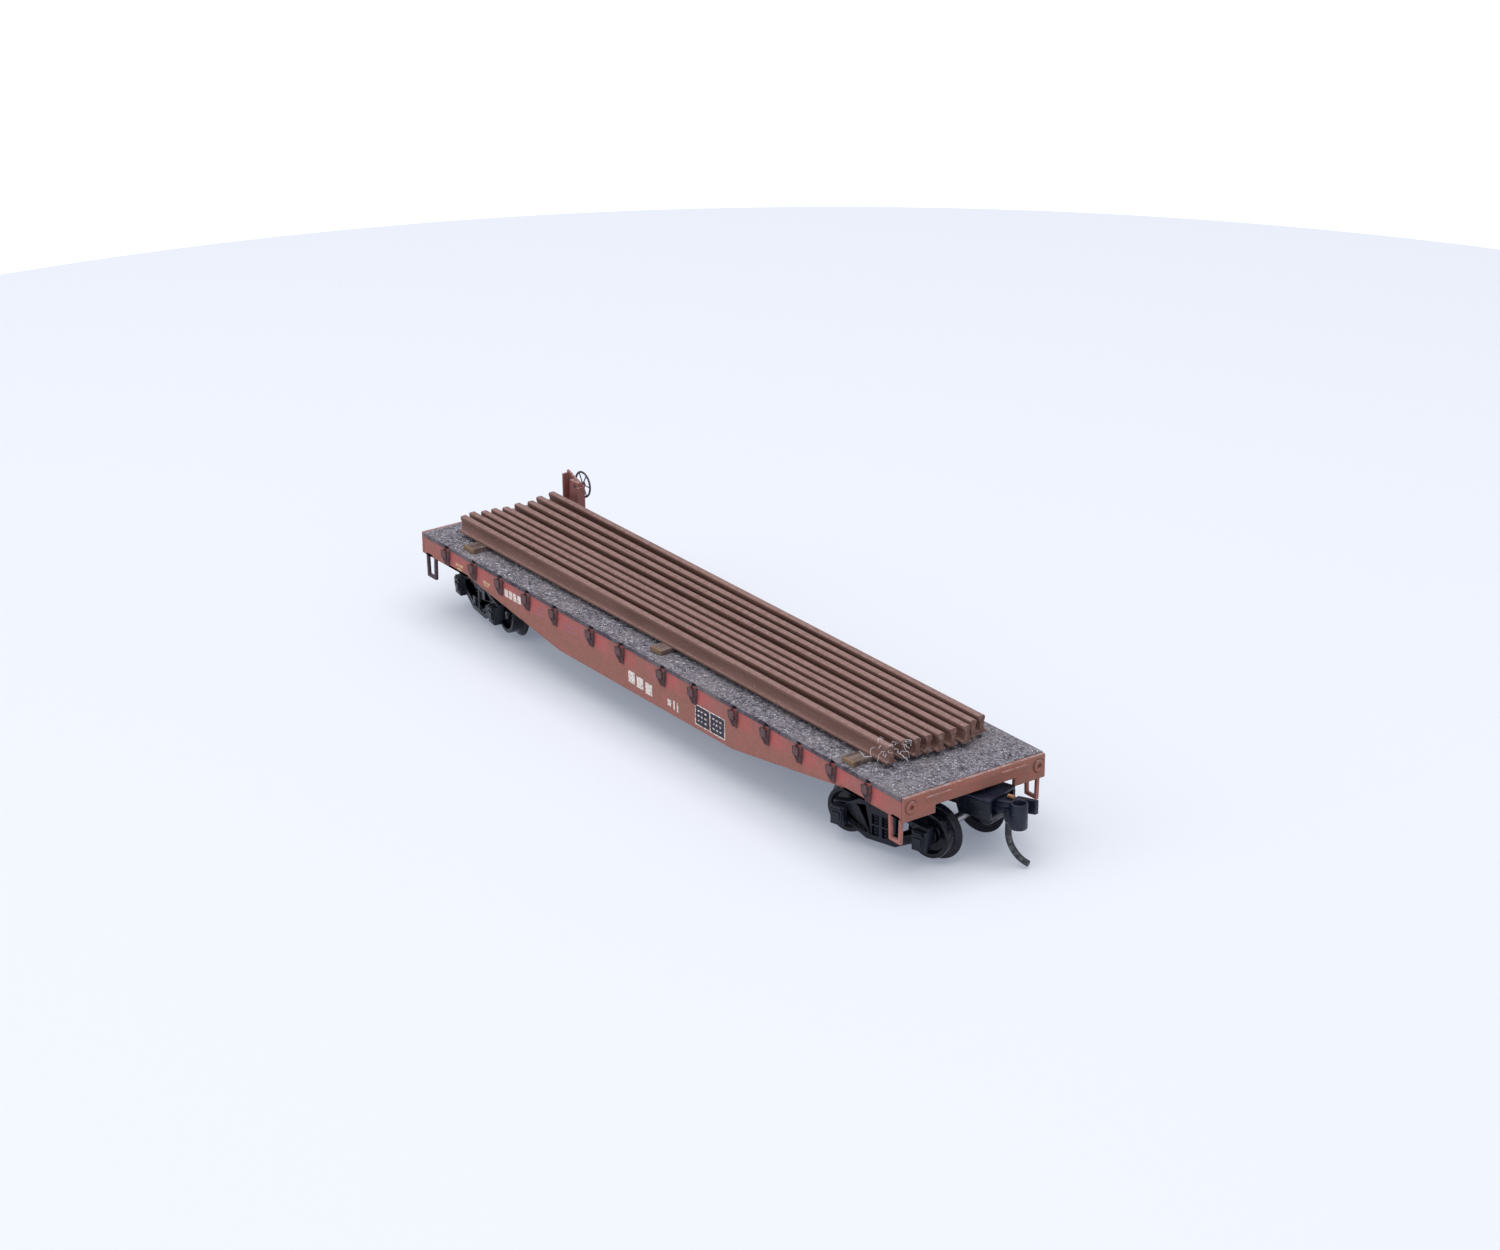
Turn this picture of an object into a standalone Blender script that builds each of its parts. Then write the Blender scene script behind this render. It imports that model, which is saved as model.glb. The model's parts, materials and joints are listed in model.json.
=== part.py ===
"""A 1:160 fishbelly flat car on 9 mm track, loaded with nine lengths of rail.

Metres, +Z up. +X runs to the front end, the end without the hand brake, and z = 0 is the level of the
wheel flanges' lowest points. The trucks stand a little turned, as they do on a car that was set down by
hand, and each truck carries its own coupler.
"""

import math

import bmesh
import bpy
from mathutils import Matrix, Vector

MM = 0.001

# Overall sizes
DECK_LENGTH = 97.0 * MM
BODY_WIDTH = 19.2 * MM
DECK_HEIGHT = 10.2 * MM
TRUCK_CENTRES = 77.6 * MM
CLEARANCE = 0.04 * MM

# Deck and sills
DECK_THICK = 0.5 * MM
DECK_OVERHANG = 0.1 * MM
SILL_THICK = 0.6 * MM
SILL_END_DEPTH = 2.75 * MM
BELLY_DEPTH = 5.55 * MM
BELLY_LONG = 74.0 * MM
BELLY_SHORT = 35.0 * MM
END_SILL_THICK = 0.5 * MM
END_CUTOUT_WIDTH = 10.8 * MM
END_CUTOUT_DEPTH = 1.8 * MM

# Stake pockets, by their distance from the middle of the car
POCKET_SPACING = (4.2 * MM, 10.4 * MM, 18.2 * MM, 24.2 * MM, 30.2 * MM, 36.2 * MM, 42.4 * MM)
POCKET_TOP = 1.25 * MM
POCKET_FOOT = 0.75 * MM
POCKET_HEIGHT = 2.05 * MM
POCKET_PROUD = 0.65 * MM
STAKE_WIDTH = 0.72 * MM
STAKE_THICK = 0.32 * MM
STAKE_DEPTH = 1.3 * MM

# End sill fittings
POLING_OFFSET = 8.7 * MM
POLING_DROP = 1.2 * MM
POLING_RADIUS = 0.72 * MM
POLING_PROUD = 0.18 * MM
POLING_HOLE = 0.3 * MM
GRAB_LENGTH = 3.6 * MM
GRAB_OFFSET = 5.2 * MM
GRAB_DROP = 0.5 * MM
GRAB_THICK = 0.25 * MM

# Underframe and ballast
WEIGHT_LENGTH = 66.0 * MM
WEIGHT_WIDTH = 15.0 * MM
WEIGHT_THICK = 0.7 * MM
FLOOR_THICK = 0.6 * MM
CENTRE_SILL_WIDTH = 3.0 * MM
CENTRE_SILL_DEPTH = 5.2 * MM
CROSSBEARER_X = (5.5 * MM, 16.0 * MM, 26.0 * MM)
CROSSBEARER_THICK = 0.6 * MM
CROSSBEARER_DEPTH = 3.6 * MM
BODY_BOLSTER_LENGTH = 3.0 * MM
BODY_BOLSTER_RISE = 0.5 * MM
END_PLATE_LENGTH = 4.0 * MM
END_PLATE_DROP = 2.1 * MM

# Stirrup steps
STEP_CENTRE = 46.7 * MM
STEP_WIDTH = 2.2 * MM
STEP_DEPTH = 5.7 * MM
STEP_STRIP = 0.4 * MM

# Hand brake, on the left of the rear end
STAND_X = -44.0 * MM
STAND_WIDTH = 3.6 * MM
STAND_FOOT = 0.3 * MM
STAND_TOP = 4.5 * MM
STAND_WALL = 0.3 * MM
STAND_FLANGE = 0.75 * MM
HOUSING_SIZE = 2.1 * MM
BRAKE_WHEEL_X = -43.3 * MM
BRAKE_WHEEL_RISE = 3.1 * MM
BRAKE_WHEEL_RADIUS = 1.75 * MM
BRAKE_RIM = 0.14 * MM
BRAKE_HUB = 0.42 * MM
BRAKE_SPOKE = 0.1 * MM
BRAKE_SPOKES = 6
BRAKE_SHAFT = 0.24 * MM

# Load: rails on three strips of dunnage. Each rail's ends sit off the even pitch by a share of it.
RAIL_PITCH = 1.6 * MM
RAIL_HEIGHT = 2.03 * MM
RAIL_HEAD = 0.86 * MM
RAIL_WEB = 0.6 * MM
RAIL_FOOT = 1.3 * MM
RAIL_LENGTH = 85.8 * MM
RAIL_MIDDLE = -1.1 * MM
RAIL_FRONT_SHIFT = (0.25, 0.5, 0.41, 0.31, 0.18, 0.31, 0.34, 0.22, 0.16)
RAIL_REAR_SHIFT = (0.19, 0.12, 0.0, -0.12, -0.25, -0.06, 0.03, 0.12, 0.44)
RAIL_SLIDE = (-0.1, -0.5, 0.0, 0.1, 0.5, 0.3, 0.6, -0.1, -0.5)
DUNNAGE_X = (-39.0 * MM, 0.8 * MM, 38.0 * MM)
DUNNAGE_SHIFT = (0.0, 0.35, -0.45)
DUNNAGE_LENGTH = 17.4 * MM
DUNNAGE_WIDTH = 2.1 * MM
DUNNAGE_THICK = 0.55 * MM

# Wheels and axles
WHEEL_BASE = 10.8 * MM
FLANGE_RADIUS = 3.25 * MM
TREAD_RADIUS = 2.62 * MM
WHEEL_WIDTH = 2.0 * MM
BACK_TO_BACK = 7.55 * MM
AXLE_RADIUS = 0.5 * MM
AXLE_LENGTH = 13.7 * MM
WHEEL_STEPS = 24

# Trucks, in their own frame: x along the truck to the coupler, y across
FRONT_TURN = math.radians(16.0)
REAR_TURN = math.radians(-9.5)
SIDEFRAME_THICK = 0.9 * MM
SIDEFRAME_TOP = 6.2 * MM
SIDEFRAME_BOTTOM = 1.3 * MM
JOURNAL_WIDTH = 1.8 * MM
JOURNAL_HEIGHT = 2.3 * MM
JOURNAL_PROUD = 0.6 * MM
BOLSTER_LENGTH = 2.8 * MM
BOLSTER_BOTTOM = 4.6 * MM
BOLSTER_TOP = 6.5 * MM
CENTRE_PLATE_RADIUS = 2.0 * MM
CENTRE_PLATE_RISE = 0.25 * MM
PIN_RADIUS = 0.7 * MM
PIN_PLAY = 0.1 * MM
PIN_HEAD = 1.3 * MM
PIN_HEAD_THICK = 0.4 * MM

# Coupler pocket on the truck's tongue, and the coupler in it
COUPLER_HEIGHT = 6.5 * MM
POCKET_BACK = 6.9 * MM
POCKET_FRONT = 11.0 * MM
POCKET_HALF_WIDTH = 2.4 * MM
POCKET_WALL = 0.45 * MM
POCKET_ROOM = 1.6 * MM
POST_X = 8.75 * MM
POST_RADIUS = 0.5 * MM
TONGUE_WIDTH = 2.4 * MM
DRAFT_TRAVEL = 0.35 * MM
SHANK_RADIUS = 1.05 * MM
SHANK_HALF_WIDTH = 0.6 * MM
HEAD_BACK = 11.8 * MM
CHIN_BACK = 11.5 * MM
KNUCKLE_BACK = 12.8 * MM
KNUCKLE_FRONT = 14.7 * MM
KNUCKLE_HEIGHT = 2.95 * MM
KNUCKLE_BOTTOM = 4.75 * MM
TRIP_PIN_RADIUS = 0.3 * MM
HEAD_HALF = 0.95 * MM
HEAD_DROP = 0.25 * MM
GUARD_TIP = 14.35 * MM
GUARD_RISE = 0.7 * MM
BOSS_DROP = 0.8 * MM
PIN_X = 12.1 * MM
PIN_Y = -0.45 * MM

# An outline is filled at this many times its size, because a fill joins points under 0.03 mm apart, and
# turned by an odd angle, because a fill leaves an empty face where several corners are level.
DRAFT = Matrix.Rotation(0.377, 4, "Z") @ Matrix.Scale(1000.0, 4)

DECK_BOTTOM = DECK_HEIGHT - DECK_THICK
HALF_WIDTH = BODY_WIDTH / 2
HALF_LENGTH = DECK_LENGTH / 2
SILL_TOP = DECK_BOTTOM - CLEARANCE
WEIGHT_BOTTOM = DECK_BOTTOM - CLEARANCE - WEIGHT_THICK
FLOOR_TOP = WEIGHT_BOTTOM - CLEARANCE
FLOOR_BOTTOM = FLOOR_TOP - FLOOR_THICK
TRUCK_X = TRUCK_CENTRES / 2
TRUCK_TOP = BOLSTER_TOP + CENTRE_PLATE_RISE
SIDEFRAME_IN = BACK_TO_BACK / 2 + WHEEL_WIDTH + 0.3 * MM
SIDEFRAME_OUT = SIDEFRAME_IN + SIDEFRAME_THICK
ROOM_BOTTOM = COUPLER_HEIGHT - POCKET_ROOM / 2
ROOM_TOP = COUPLER_HEIGHT + POCKET_ROOM / 2


# ---------------------------------------------------------------- shapes

def clear_scene():
    for obj in list(bpy.data.objects):
        bpy.data.objects.remove(obj, do_unlink=True)


def new_collection(name):
    made = bpy.data.collections.new(name)
    bpy.context.scene.collection.children.link(made)
    return made


def placed(name, mesh, collection):
    obj = bpy.data.objects.new(name, mesh)
    collection.objects.link(obj)
    return obj


def finished_mesh(name, bm):
    mesh = bpy.data.meshes.new(name)
    bm.to_mesh(mesh)
    bm.free()
    return mesh


def add_box(bm, low, high):
    low, high = Vector(low), Vector(high)
    matrix = Matrix.Translation((low + high) / 2) @ Matrix.Diagonal((*(high - low), 1.0))
    return bmesh.ops.create_cube(bm, size=1.0, matrix=matrix)["verts"]


def add_cylinder(bm, centre, radius, height, segments=20, top_radius=None):
    """An upright cylinder or cone that stands on centre."""
    matrix = Matrix.Translation(Vector(centre) + Vector((0, 0, height / 2)))
    top = radius if top_radius is None else top_radius
    made = bmesh.ops.create_cone(bm, cap_ends=True, segments=segments, radius1=radius, radius2=top,
                                 depth=height, matrix=matrix)
    return made["verts"]


def boxes(name, pairs):
    bm = bmesh.new()
    for low, high in pairs:
        add_box(bm, low, high)
    return finished_mesh(name, bm)


def cylinder(name, centre, radius, height, segments=20):
    bm = bmesh.new()
    add_cylinder(bm, centre, radius, height, segments)
    return finished_mesh(name, bm)


def sew(mesh):
    """Closes the seams of a converted shape, makes its flat faces whole and turns them outward."""
    bm = bmesh.new()
    bm.from_mesh(mesh)
    bmesh.ops.remove_doubles(bm, verts=bm.verts, dist=1e-7)
    bmesh.ops.dissolve_limit(bm, angle_limit=1e-4, verts=bm.verts, edges=bm.edges)
    bmesh.ops.recalc_face_normals(bm, faces=bm.faces)
    bm.to_mesh(mesh)
    bm.free()


def solid_of(obj):
    """The object's evaluated shape as a mesh of its own."""
    bpy.context.view_layer.update()
    graph = bpy.context.evaluated_depsgraph_get()
    mesh = bpy.data.meshes.new_from_object(obj.evaluated_get(graph))
    sew(mesh)
    return mesh


def plate(name, loops, thick, turn=None):
    """A flat outline in x and y, with any further loops as holes, thick to both sides of z = 0."""
    curve = bpy.data.curves.new(name, "CURVE")
    curve.dimensions = "2D"
    curve.fill_mode = "BOTH"
    curve.extrude = (DRAFT @ Vector((0, 0, thick / 2))).z
    for loop in loops:
        spline = curve.splines.new("POLY")
        spline.points.add(len(loop) - 1)
        for point, (x, y) in zip(spline.points, loop):
            point.co = DRAFT @ Vector((x, y, 0, 1))
        spline.use_cyclic_u = True
    draft = placed(name + "_draft", curve, HELPERS)
    mesh = bpy.data.meshes.new_from_object(draft)
    bpy.data.objects.remove(draft)
    mesh.transform((turn or Matrix()) @ DRAFT.inverted())
    sew(mesh)
    mesh.name = name
    return mesh


def upright(y):
    """Stands an outline up: its x stays, its y becomes z, and it is centred on the plane at y."""
    return Matrix.Translation((0, y, 0)) @ Matrix.Rotation(math.pi / 2, 4, "X")


def across(x):
    """Stands an outline up across the car: its x becomes y, its y becomes z, centred on the plane at x."""
    return Matrix.Translation((x, 0, 0)) @ Matrix.Rotation(math.pi / 2, 4, "Z") @ Matrix.Rotation(
        math.pi / 2, 4, "X")


def turned(name, profile, steps):
    """A closed profile of (radius, height) turned round z, its first point at the top of the outer side."""
    bm = bmesh.new()
    corners = [bm.verts.new((radius, 0, height)) for radius, height in profile]
    for index, corner in enumerate(corners):
        bm.edges.new((corners[index - 1], corner))
    draft = placed(name + "_draft", finished_mesh(name, bm), HELPERS)
    screw = draft.modifiers.new("turn", "SCREW")
    screw.axis = "Z"
    screw.steps = steps
    screw.render_steps = steps
    screw.use_merge_vertices = True
    screw.merge_threshold = 1e-7
    mesh = solid_of(draft)
    bpy.data.objects.remove(draft)
    mesh.name = name
    return mesh


def tube(name, points, radius, sides=1):
    """A round wire along the points, with its ends capped."""
    curve = bpy.data.curves.new(name, "CURVE")
    curve.dimensions = "3D"
    curve.bevel_depth = radius
    curve.bevel_resolution = sides
    curve.use_fill_caps = True
    spline = curve.splines.new("POLY")
    spline.points.add(len(points) - 1)
    for point, place in zip(spline.points, points):
        point.co = (*place, 1)
    return curve


def boolean(obj, helper, operation):
    helper.hide_render = True
    helper.display_type = "WIRE"
    modifier = obj.modifiers.new(helper.name, "BOOLEAN")
    modifier.operation = operation
    modifier.solver = "EXACT"
    modifier.object = helper


def add_to(obj, name, mesh):
    helper = placed(obj.name + "_" + name, mesh, HELPERS)
    helper.parent = obj
    boolean(obj, helper, "UNION")


def cut_from(obj, name, mesh):
    helper = placed(obj.name + "_" + name, mesh, HELPERS)
    helper.parent = obj
    boolean(obj, helper, "DIFFERENCE")


def colour(obj, name, rgb, roughness, metallic=0.0):
    made = bpy.data.materials.get(name)
    if made is None:
        made = bpy.data.materials.new(name)
        made.use_nodes = True
        shader = made.node_tree.nodes["Principled BSDF"]
        shader.inputs["Base Color"].default_value = (*rgb, 1)
        shader.inputs["Roughness"].default_value = roughness
        shader.inputs["Metallic"].default_value = metallic
        made.diffuse_color = (*rgb, 1)
    obj.data.materials.clear()
    obj.data.materials.append(made)


def paint(obj):
    colour(obj, "body_paint", (0.36, 0.13, 0.11), 0.75)


def grit(obj):
    colour(obj, "deck_grit", (0.3, 0.27, 0.29), 0.95)


def black(obj):
    colour(obj, "truck_plastic", (0.018, 0.02, 0.035), 0.45)


def rust(obj):
    colour(obj, "rail_brown", (0.22, 0.11, 0.09), 0.8)


def wood(obj):
    colour(obj, "dunnage_wood", (0.25, 0.19, 0.12), 0.9)


def steel(obj):
    colour(obj, "steel", (0.45, 0.45, 0.46), 0.4, 1.0)


def bronze(obj):
    colour(obj, "spring_bronze", (0.55, 0.3, 0.15), 0.35, 1.0)


# ---------------------------------------------------------------- car body

def pocket_places():
    return [side * x for x in POCKET_SPACING for side in (-1, 1)]


def make_deck():
    half = HALF_WIDTH + DECK_OVERHANG
    end = HALF_LENGTH - END_SILL_THICK - CLEARANCE
    deck = placed("deck", boxes("deck", [((-end, -half, DECK_BOTTOM), (end, half, DECK_HEIGHT))]), PARTS)
    notch = STAKE_WIDTH / 2 + CLEARANCE
    depth = STAKE_THICK + DECK_OVERHANG
    low, high = DECK_BOTTOM - DECK_THICK, DECK_HEIGHT + DECK_THICK
    cuts = []
    for x in pocket_places():
        cuts.append(((x - notch, -half - depth, low), (x + notch, -half + depth, high)))
        cuts.append(((x - notch, half - depth, low), (x + notch, half + depth, high)))
    cut_from(deck, "stake_holes", boxes("stake_holes", cuts))
    grit(deck)


def belly_outline():
    bottom_end = DECK_HEIGHT - SILL_END_DEPTH
    bottom_mid = DECK_HEIGHT - BELLY_DEPTH
    end = HALF_LENGTH - END_SILL_THICK - CLEARANCE
    right = [(end, SILL_TOP), (end, bottom_end), (BELLY_LONG / 2, bottom_end), (BELLY_SHORT / 2, bottom_mid)]
    return right + [(-x, z) for x, z in reversed(right)]


def pocket_mesh(side):
    """The row of tapered stake pockets on one side, as separate blocks that bite into the sill."""
    bm = bmesh.new()
    inner = side * (HALF_WIDTH - SILL_THICK / 2)
    outer = side * (HALF_WIDTH + POCKET_PROUD)
    low_y, high_y = min(inner, outer), max(inner, outer)
    top = SILL_TOP - CLEARANCE
    for x in pocket_places():
        corners = add_box(bm, (x - POCKET_TOP / 2, low_y, top - POCKET_HEIGHT), (x + POCKET_TOP / 2, high_y, top))
        for corner in corners:
            if corner.co.z < top - POCKET_HEIGHT / 2:
                corner.co.x = x + (corner.co.x - x) * POCKET_FOOT / POCKET_TOP
    return finished_mesh("pockets", bm)


def make_side_sill(name, side):
    middle = side * (HALF_WIDTH - SILL_THICK / 2)
    sill = placed(name, plate(name, [belly_outline()], SILL_THICK, upright(middle)), PARTS)
    add_to(sill, "pockets", pocket_mesh(side))
    near = side * (HALF_WIDTH + POCKET_PROUD / 2 - STAKE_THICK / 2)
    far = near + side * STAKE_THICK
    top = SILL_TOP + DECK_THICK / 2
    sockets = [((x - STAKE_WIDTH / 2, min(near, far), SILL_TOP - STAKE_DEPTH),
                (x + STAKE_WIDTH / 2, max(near, far), top)) for x in pocket_places()]
    cut_from(sill, "sockets", boxes("sockets", sockets))
    paint(sill)


def make_end_sill(name, side):
    bottom = DECK_HEIGHT - SILL_END_DEPTH
    notch = DECK_HEIGHT - END_CUTOUT_DEPTH
    half = END_CUTOUT_WIDTH / 2
    right = [(HALF_WIDTH, DECK_HEIGHT), (HALF_WIDTH, bottom), (half, bottom), (half, notch)]
    outline = right + [(-y, z) for y, z in reversed(right)]
    middle = side * (HALF_LENGTH - END_SILL_THICK / 2)
    sill = placed(name, plate(name, [outline], END_SILL_THICK, across(middle)), PARTS)
    face = side * HALF_LENGTH
    inward = side * END_SILL_THICK / 2
    grabs = []
    for grab in (-GRAB_OFFSET, GRAB_OFFSET):
        ends = sorted((face - inward, face + side * GRAB_THICK))
        top = DECK_HEIGHT - GRAB_DROP
        grabs.append(((ends[0], grab - GRAB_LENGTH / 2, top - GRAB_THICK),
                      (ends[1], grab + GRAB_LENGTH / 2, top)))
    add_to(sill, "grab_irons", boxes("grab_irons", grabs))
    add_to(sill, "poling_rings", poling_mesh(face - inward, side * (END_SILL_THICK / 2 + POLING_PROUD),
                                             POLING_RADIUS))
    hole_depth = side * (POLING_PROUD * 3)
    cut_from(sill, "poling_holes", poling_mesh(face - side * POLING_PROUD, hole_depth, POLING_HOLE))
    paint(sill)


def poling_mesh(start, length, radius):
    """Two short cylinders that lie along x, one for each poling pocket of an end sill."""
    bm = bmesh.new()
    for y in (-POLING_OFFSET, POLING_OFFSET):
        corners = add_cylinder(bm, (0, 0, 0), radius, abs(length), 16)
        lay = Matrix.Rotation(math.copysign(math.pi / 2, length), 4, "Y")
        move = Matrix.Translation((start, y, DECK_HEIGHT - POLING_DROP))
        bmesh.ops.transform(bm, verts=corners, matrix=move @ lay)
    return finished_mesh("poling", bm)


def make_ballast():
    low = (-WEIGHT_LENGTH / 2, -WEIGHT_WIDTH / 2, WEIGHT_BOTTOM)
    high = (WEIGHT_LENGTH / 2, WEIGHT_WIDTH / 2, WEIGHT_BOTTOM + WEIGHT_THICK)
    steel(placed("ballast_weight", boxes("ballast_weight", [(low, high)]), PARTS))


def centre_sill_outline():
    flat = min(FLOOR_BOTTOM, DECK_HEIGHT - SILL_END_DEPTH - CLEARANCE)
    deep = DECK_HEIGHT - CENTRE_SILL_DEPTH
    end = TRUCK_X - BODY_BOLSTER_LENGTH * 0.4
    right = [(end, FLOOR_TOP - FLOOR_THICK / 2), (end, flat),
             (TRUCK_X - WHEEL_BASE, flat), (BELLY_SHORT / 2, deep)]
    return right + [(-x, z) for x, z in reversed(right)]


def make_underframe():
    half = HALF_WIDTH - SILL_THICK - CLEARANCE
    end = HALF_LENGTH - END_SILL_THICK - CLEARANCE
    floor = ((-end, -half, FLOOR_BOTTOM), (end, half, FLOOR_TOP))
    frame = placed("underframe", boxes("underframe", [floor]), PARTS)
    sill = plate("centre_sill", [centre_sill_outline()], CENTRE_SILL_WIDTH, upright(0.0))
    add_to(frame, "centre_sill", sill)
    inside = FLOOR_TOP - FLOOR_THICK / 2
    bearer_bottom = DECK_HEIGHT - CROSSBEARER_DEPTH
    bearers = [((side * x - CROSSBEARER_THICK / 2, -half + CLEARANCE, bearer_bottom),
                (side * x + CROSSBEARER_THICK / 2, half - CLEARANCE, inside))
               for x in CROSSBEARER_X for side in (-1, 1)]
    add_to(frame, "crossbearers", boxes("crossbearers", bearers))
    rest = TRUCK_TOP + CLEARANCE * 1.5
    beam = rest + BODY_BOLSTER_RISE
    reach = BODY_BOLSTER_LENGTH / 2
    beams = [((side * TRUCK_X - reach, -half + CLEARANCE, beam), (side * TRUCK_X + reach, half - CLEARANCE, inside))
             for side in (-1, 1)]
    add_to(frame, "bolsters", boxes("bolsters", beams))
    half_gap = END_CUTOUT_WIDTH / 2 - CLEARANCE * 5
    plates = []
    for side in (-1, 1):
        ends = sorted((side * (end - CLEARANCE), side * (end - END_PLATE_LENGTH)))
        plates.append(((ends[0], -half_gap, DECK_HEIGHT - END_PLATE_DROP), (ends[1], half_gap, inside)))
    add_to(frame, "end_plates", boxes("end_plates", plates))
    bm = bmesh.new()
    for side in (-1, 1):
        add_cylinder(bm, (side * TRUCK_X, 0, rest), CENTRE_PLATE_RADIUS, beam - rest + BODY_BOLSTER_RISE, 24)
    add_to(frame, "centre_plates", finished_mesh("centre_plates", bm))
    bm = bmesh.new()
    for side in (-1, 1):
        add_cylinder(bm, (side * TRUCK_X, 0, rest - BODY_BOLSTER_RISE), PIN_RADIUS + CLEARANCE,
                     FLOOR_BOTTOM + CLEARANCE - rest + BODY_BOLSTER_RISE, 20)
    cut_from(frame, "pin_holes", finished_mesh("pin_holes", bm))
    black(frame)


def make_step(name, end, side):
    """A U of flat strip that hangs under the side sill."""
    top = DECK_HEIGHT - SILL_END_DEPTH - CLEARANCE
    bottom = DECK_HEIGHT - STEP_DEPTH
    half = STEP_WIDTH / 2
    inner = half - STEP_STRIP
    splay = STEP_STRIP / 4
    outline = [(-half, top), (-half + splay, bottom), (half - splay, bottom), (half, top), (inner, top),
               (inner - splay, bottom + STEP_STRIP), (-inner + splay, bottom + STEP_STRIP), (-inner, top)]
    outline = [(end * STEP_CENTRE + x, z) for x, z in outline]
    middle = side * (HALF_WIDTH - SILL_THICK / 2)
    paint(placed(name, plate(name, [outline], STEP_STRIP, upright(middle)), PARTS))


# ---------------------------------------------------------------- hand brake

def stand_y():
    return HALF_WIDTH + POCKET_PROUD + CLEARANCE * 2


def make_brake_stand():
    """A channel that opens towards the deck, on a post beside the side sill, with the gear housing in it."""
    back = stand_y()
    left, right = STAND_X - STAND_WIDTH / 2, STAND_X + STAND_WIDTH / 2
    low, high = DECK_HEIGHT + STAND_FOOT, DECK_HEIGHT + STAND_TOP
    slope = STAND_WALL * 2
    outline = [(left, low), (right, low), (right, high - slope * 2), (STAND_X, high - slope), (left, high)]
    web = plate("brake_stand", [outline], STAND_WALL, upright(back + STAND_WALL / 2))
    stand = placed("brake_stand", web, PARTS)
    bite = back + STAND_WALL / 2
    edge = CLEARANCE / 2
    flanges = [((left + edge, back - STAND_FLANGE, low + edge), (left + STAND_WALL, bite, high - slope / 2)),
               ((right - STAND_WALL, back - STAND_FLANGE, low + edge), (right - edge, bite, high - slope * 2.2))]
    add_to(stand, "flanges", boxes("flanges", flanges))
    wheel_z = DECK_HEIGHT + BRAKE_WHEEL_RISE
    half = HOUSING_SIZE / 2
    housing = ((BRAKE_WHEEL_X - half, back - STAND_FLANGE * 0.7, wheel_z - half * 1.3),
               (BRAKE_WHEEL_X + half * 0.8, bite, wheel_z + half * 0.6))
    add_to(stand, "housing", boxes("housing", [housing]))
    foot = DECK_HEIGHT - POCKET_HEIGHT
    post = ((right - STAND_WALL * 4, back + edge, foot),
            (right - CLEARANCE, back + STAND_WALL + edge, low + STAND_WALL))
    add_to(stand, "post", boxes("post", [post]))
    bore = cylinder("bore", (0, 0, -STAND_FLANGE), BRAKE_SHAFT + CLEARANCE, STAND_FLANGE * 3, 16)
    bore.transform(Matrix.Translation((BRAKE_WHEEL_X, back, wheel_z)) @ Matrix.Rotation(-math.pi / 2, 4, "X"))
    cut_from(stand, "bore", bore)
    paint(stand)


def make_brake_wheel():
    """A spoked wheel and its short shaft, turned round y."""
    bm = bmesh.new()
    shaft = STAND_WALL + STAND_FLANGE + BRAKE_RIM * 2
    add_cylinder(bm, (0, 0, -shaft), BRAKE_SHAFT, shaft + BRAKE_RIM, 16)
    wheel = placed("brake_wheel", finished_mesh("brake_wheel", bm), PARTS)
    wheel.location = (BRAKE_WHEEL_X, stand_y() + STAND_WALL + BRAKE_HUB, DECK_HEIGHT + BRAKE_WHEEL_RISE)
    wheel.rotation_euler = (-math.pi / 2, 0, 0)
    bpy.context.view_layer.update()
    add_to(wheel, "hub", cylinder("hub", (0, 0, -BRAKE_RIM), BRAKE_HUB, BRAKE_RIM * 2.5, 16))
    inner, outer = BRAKE_WHEEL_RADIUS - BRAKE_RIM * 2, BRAKE_WHEEL_RADIUS
    rim = [(inner + BRAKE_RIM, BRAKE_RIM), (outer, 0), (inner + BRAKE_RIM, -BRAKE_RIM), (inner, 0)]
    add_to(wheel, "rim", turned("rim", rim, 36))
    for index in range(BRAKE_SPOKES // 2):
        bm = bmesh.new()
        reach = BRAKE_WHEEL_RADIUS - BRAKE_RIM
        add_box(bm, (-reach, -BRAKE_SPOKE, -BRAKE_SPOKE / 2), (reach, BRAKE_SPOKE, BRAKE_SPOKE / 2))
        turn = Matrix.Rotation(math.pi * (index + 0.5) / (BRAKE_SPOKES // 2), 4, "Z")
        bmesh.ops.transform(bm, verts=bm.verts, matrix=turn)
        add_to(wheel, f"spoke_{index}", finished_mesh("spoke", bm))
    colour(wheel, "brake_wheel_grey", (0.13, 0.11, 0.14), 0.6)


# ---------------------------------------------------------------- load

def rail_outline():
    head, web, foot = RAIL_HEAD / 2, RAIL_WEB / 2, RAIL_FOOT / 2
    lip, chamfer = RAIL_HEIGHT * 0.1, RAIL_HEAD * 0.15
    right = [(head - chamfer, RAIL_HEIGHT), (head, RAIL_HEIGHT - chamfer), (head, RAIL_HEIGHT * 0.76),
             (web, RAIL_HEIGHT * 0.66), (web, RAIL_HEIGHT * 0.24), (foot, lip), (foot, 0)]
    return right + [(-y, z) for y, z in reversed(right)]


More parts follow.
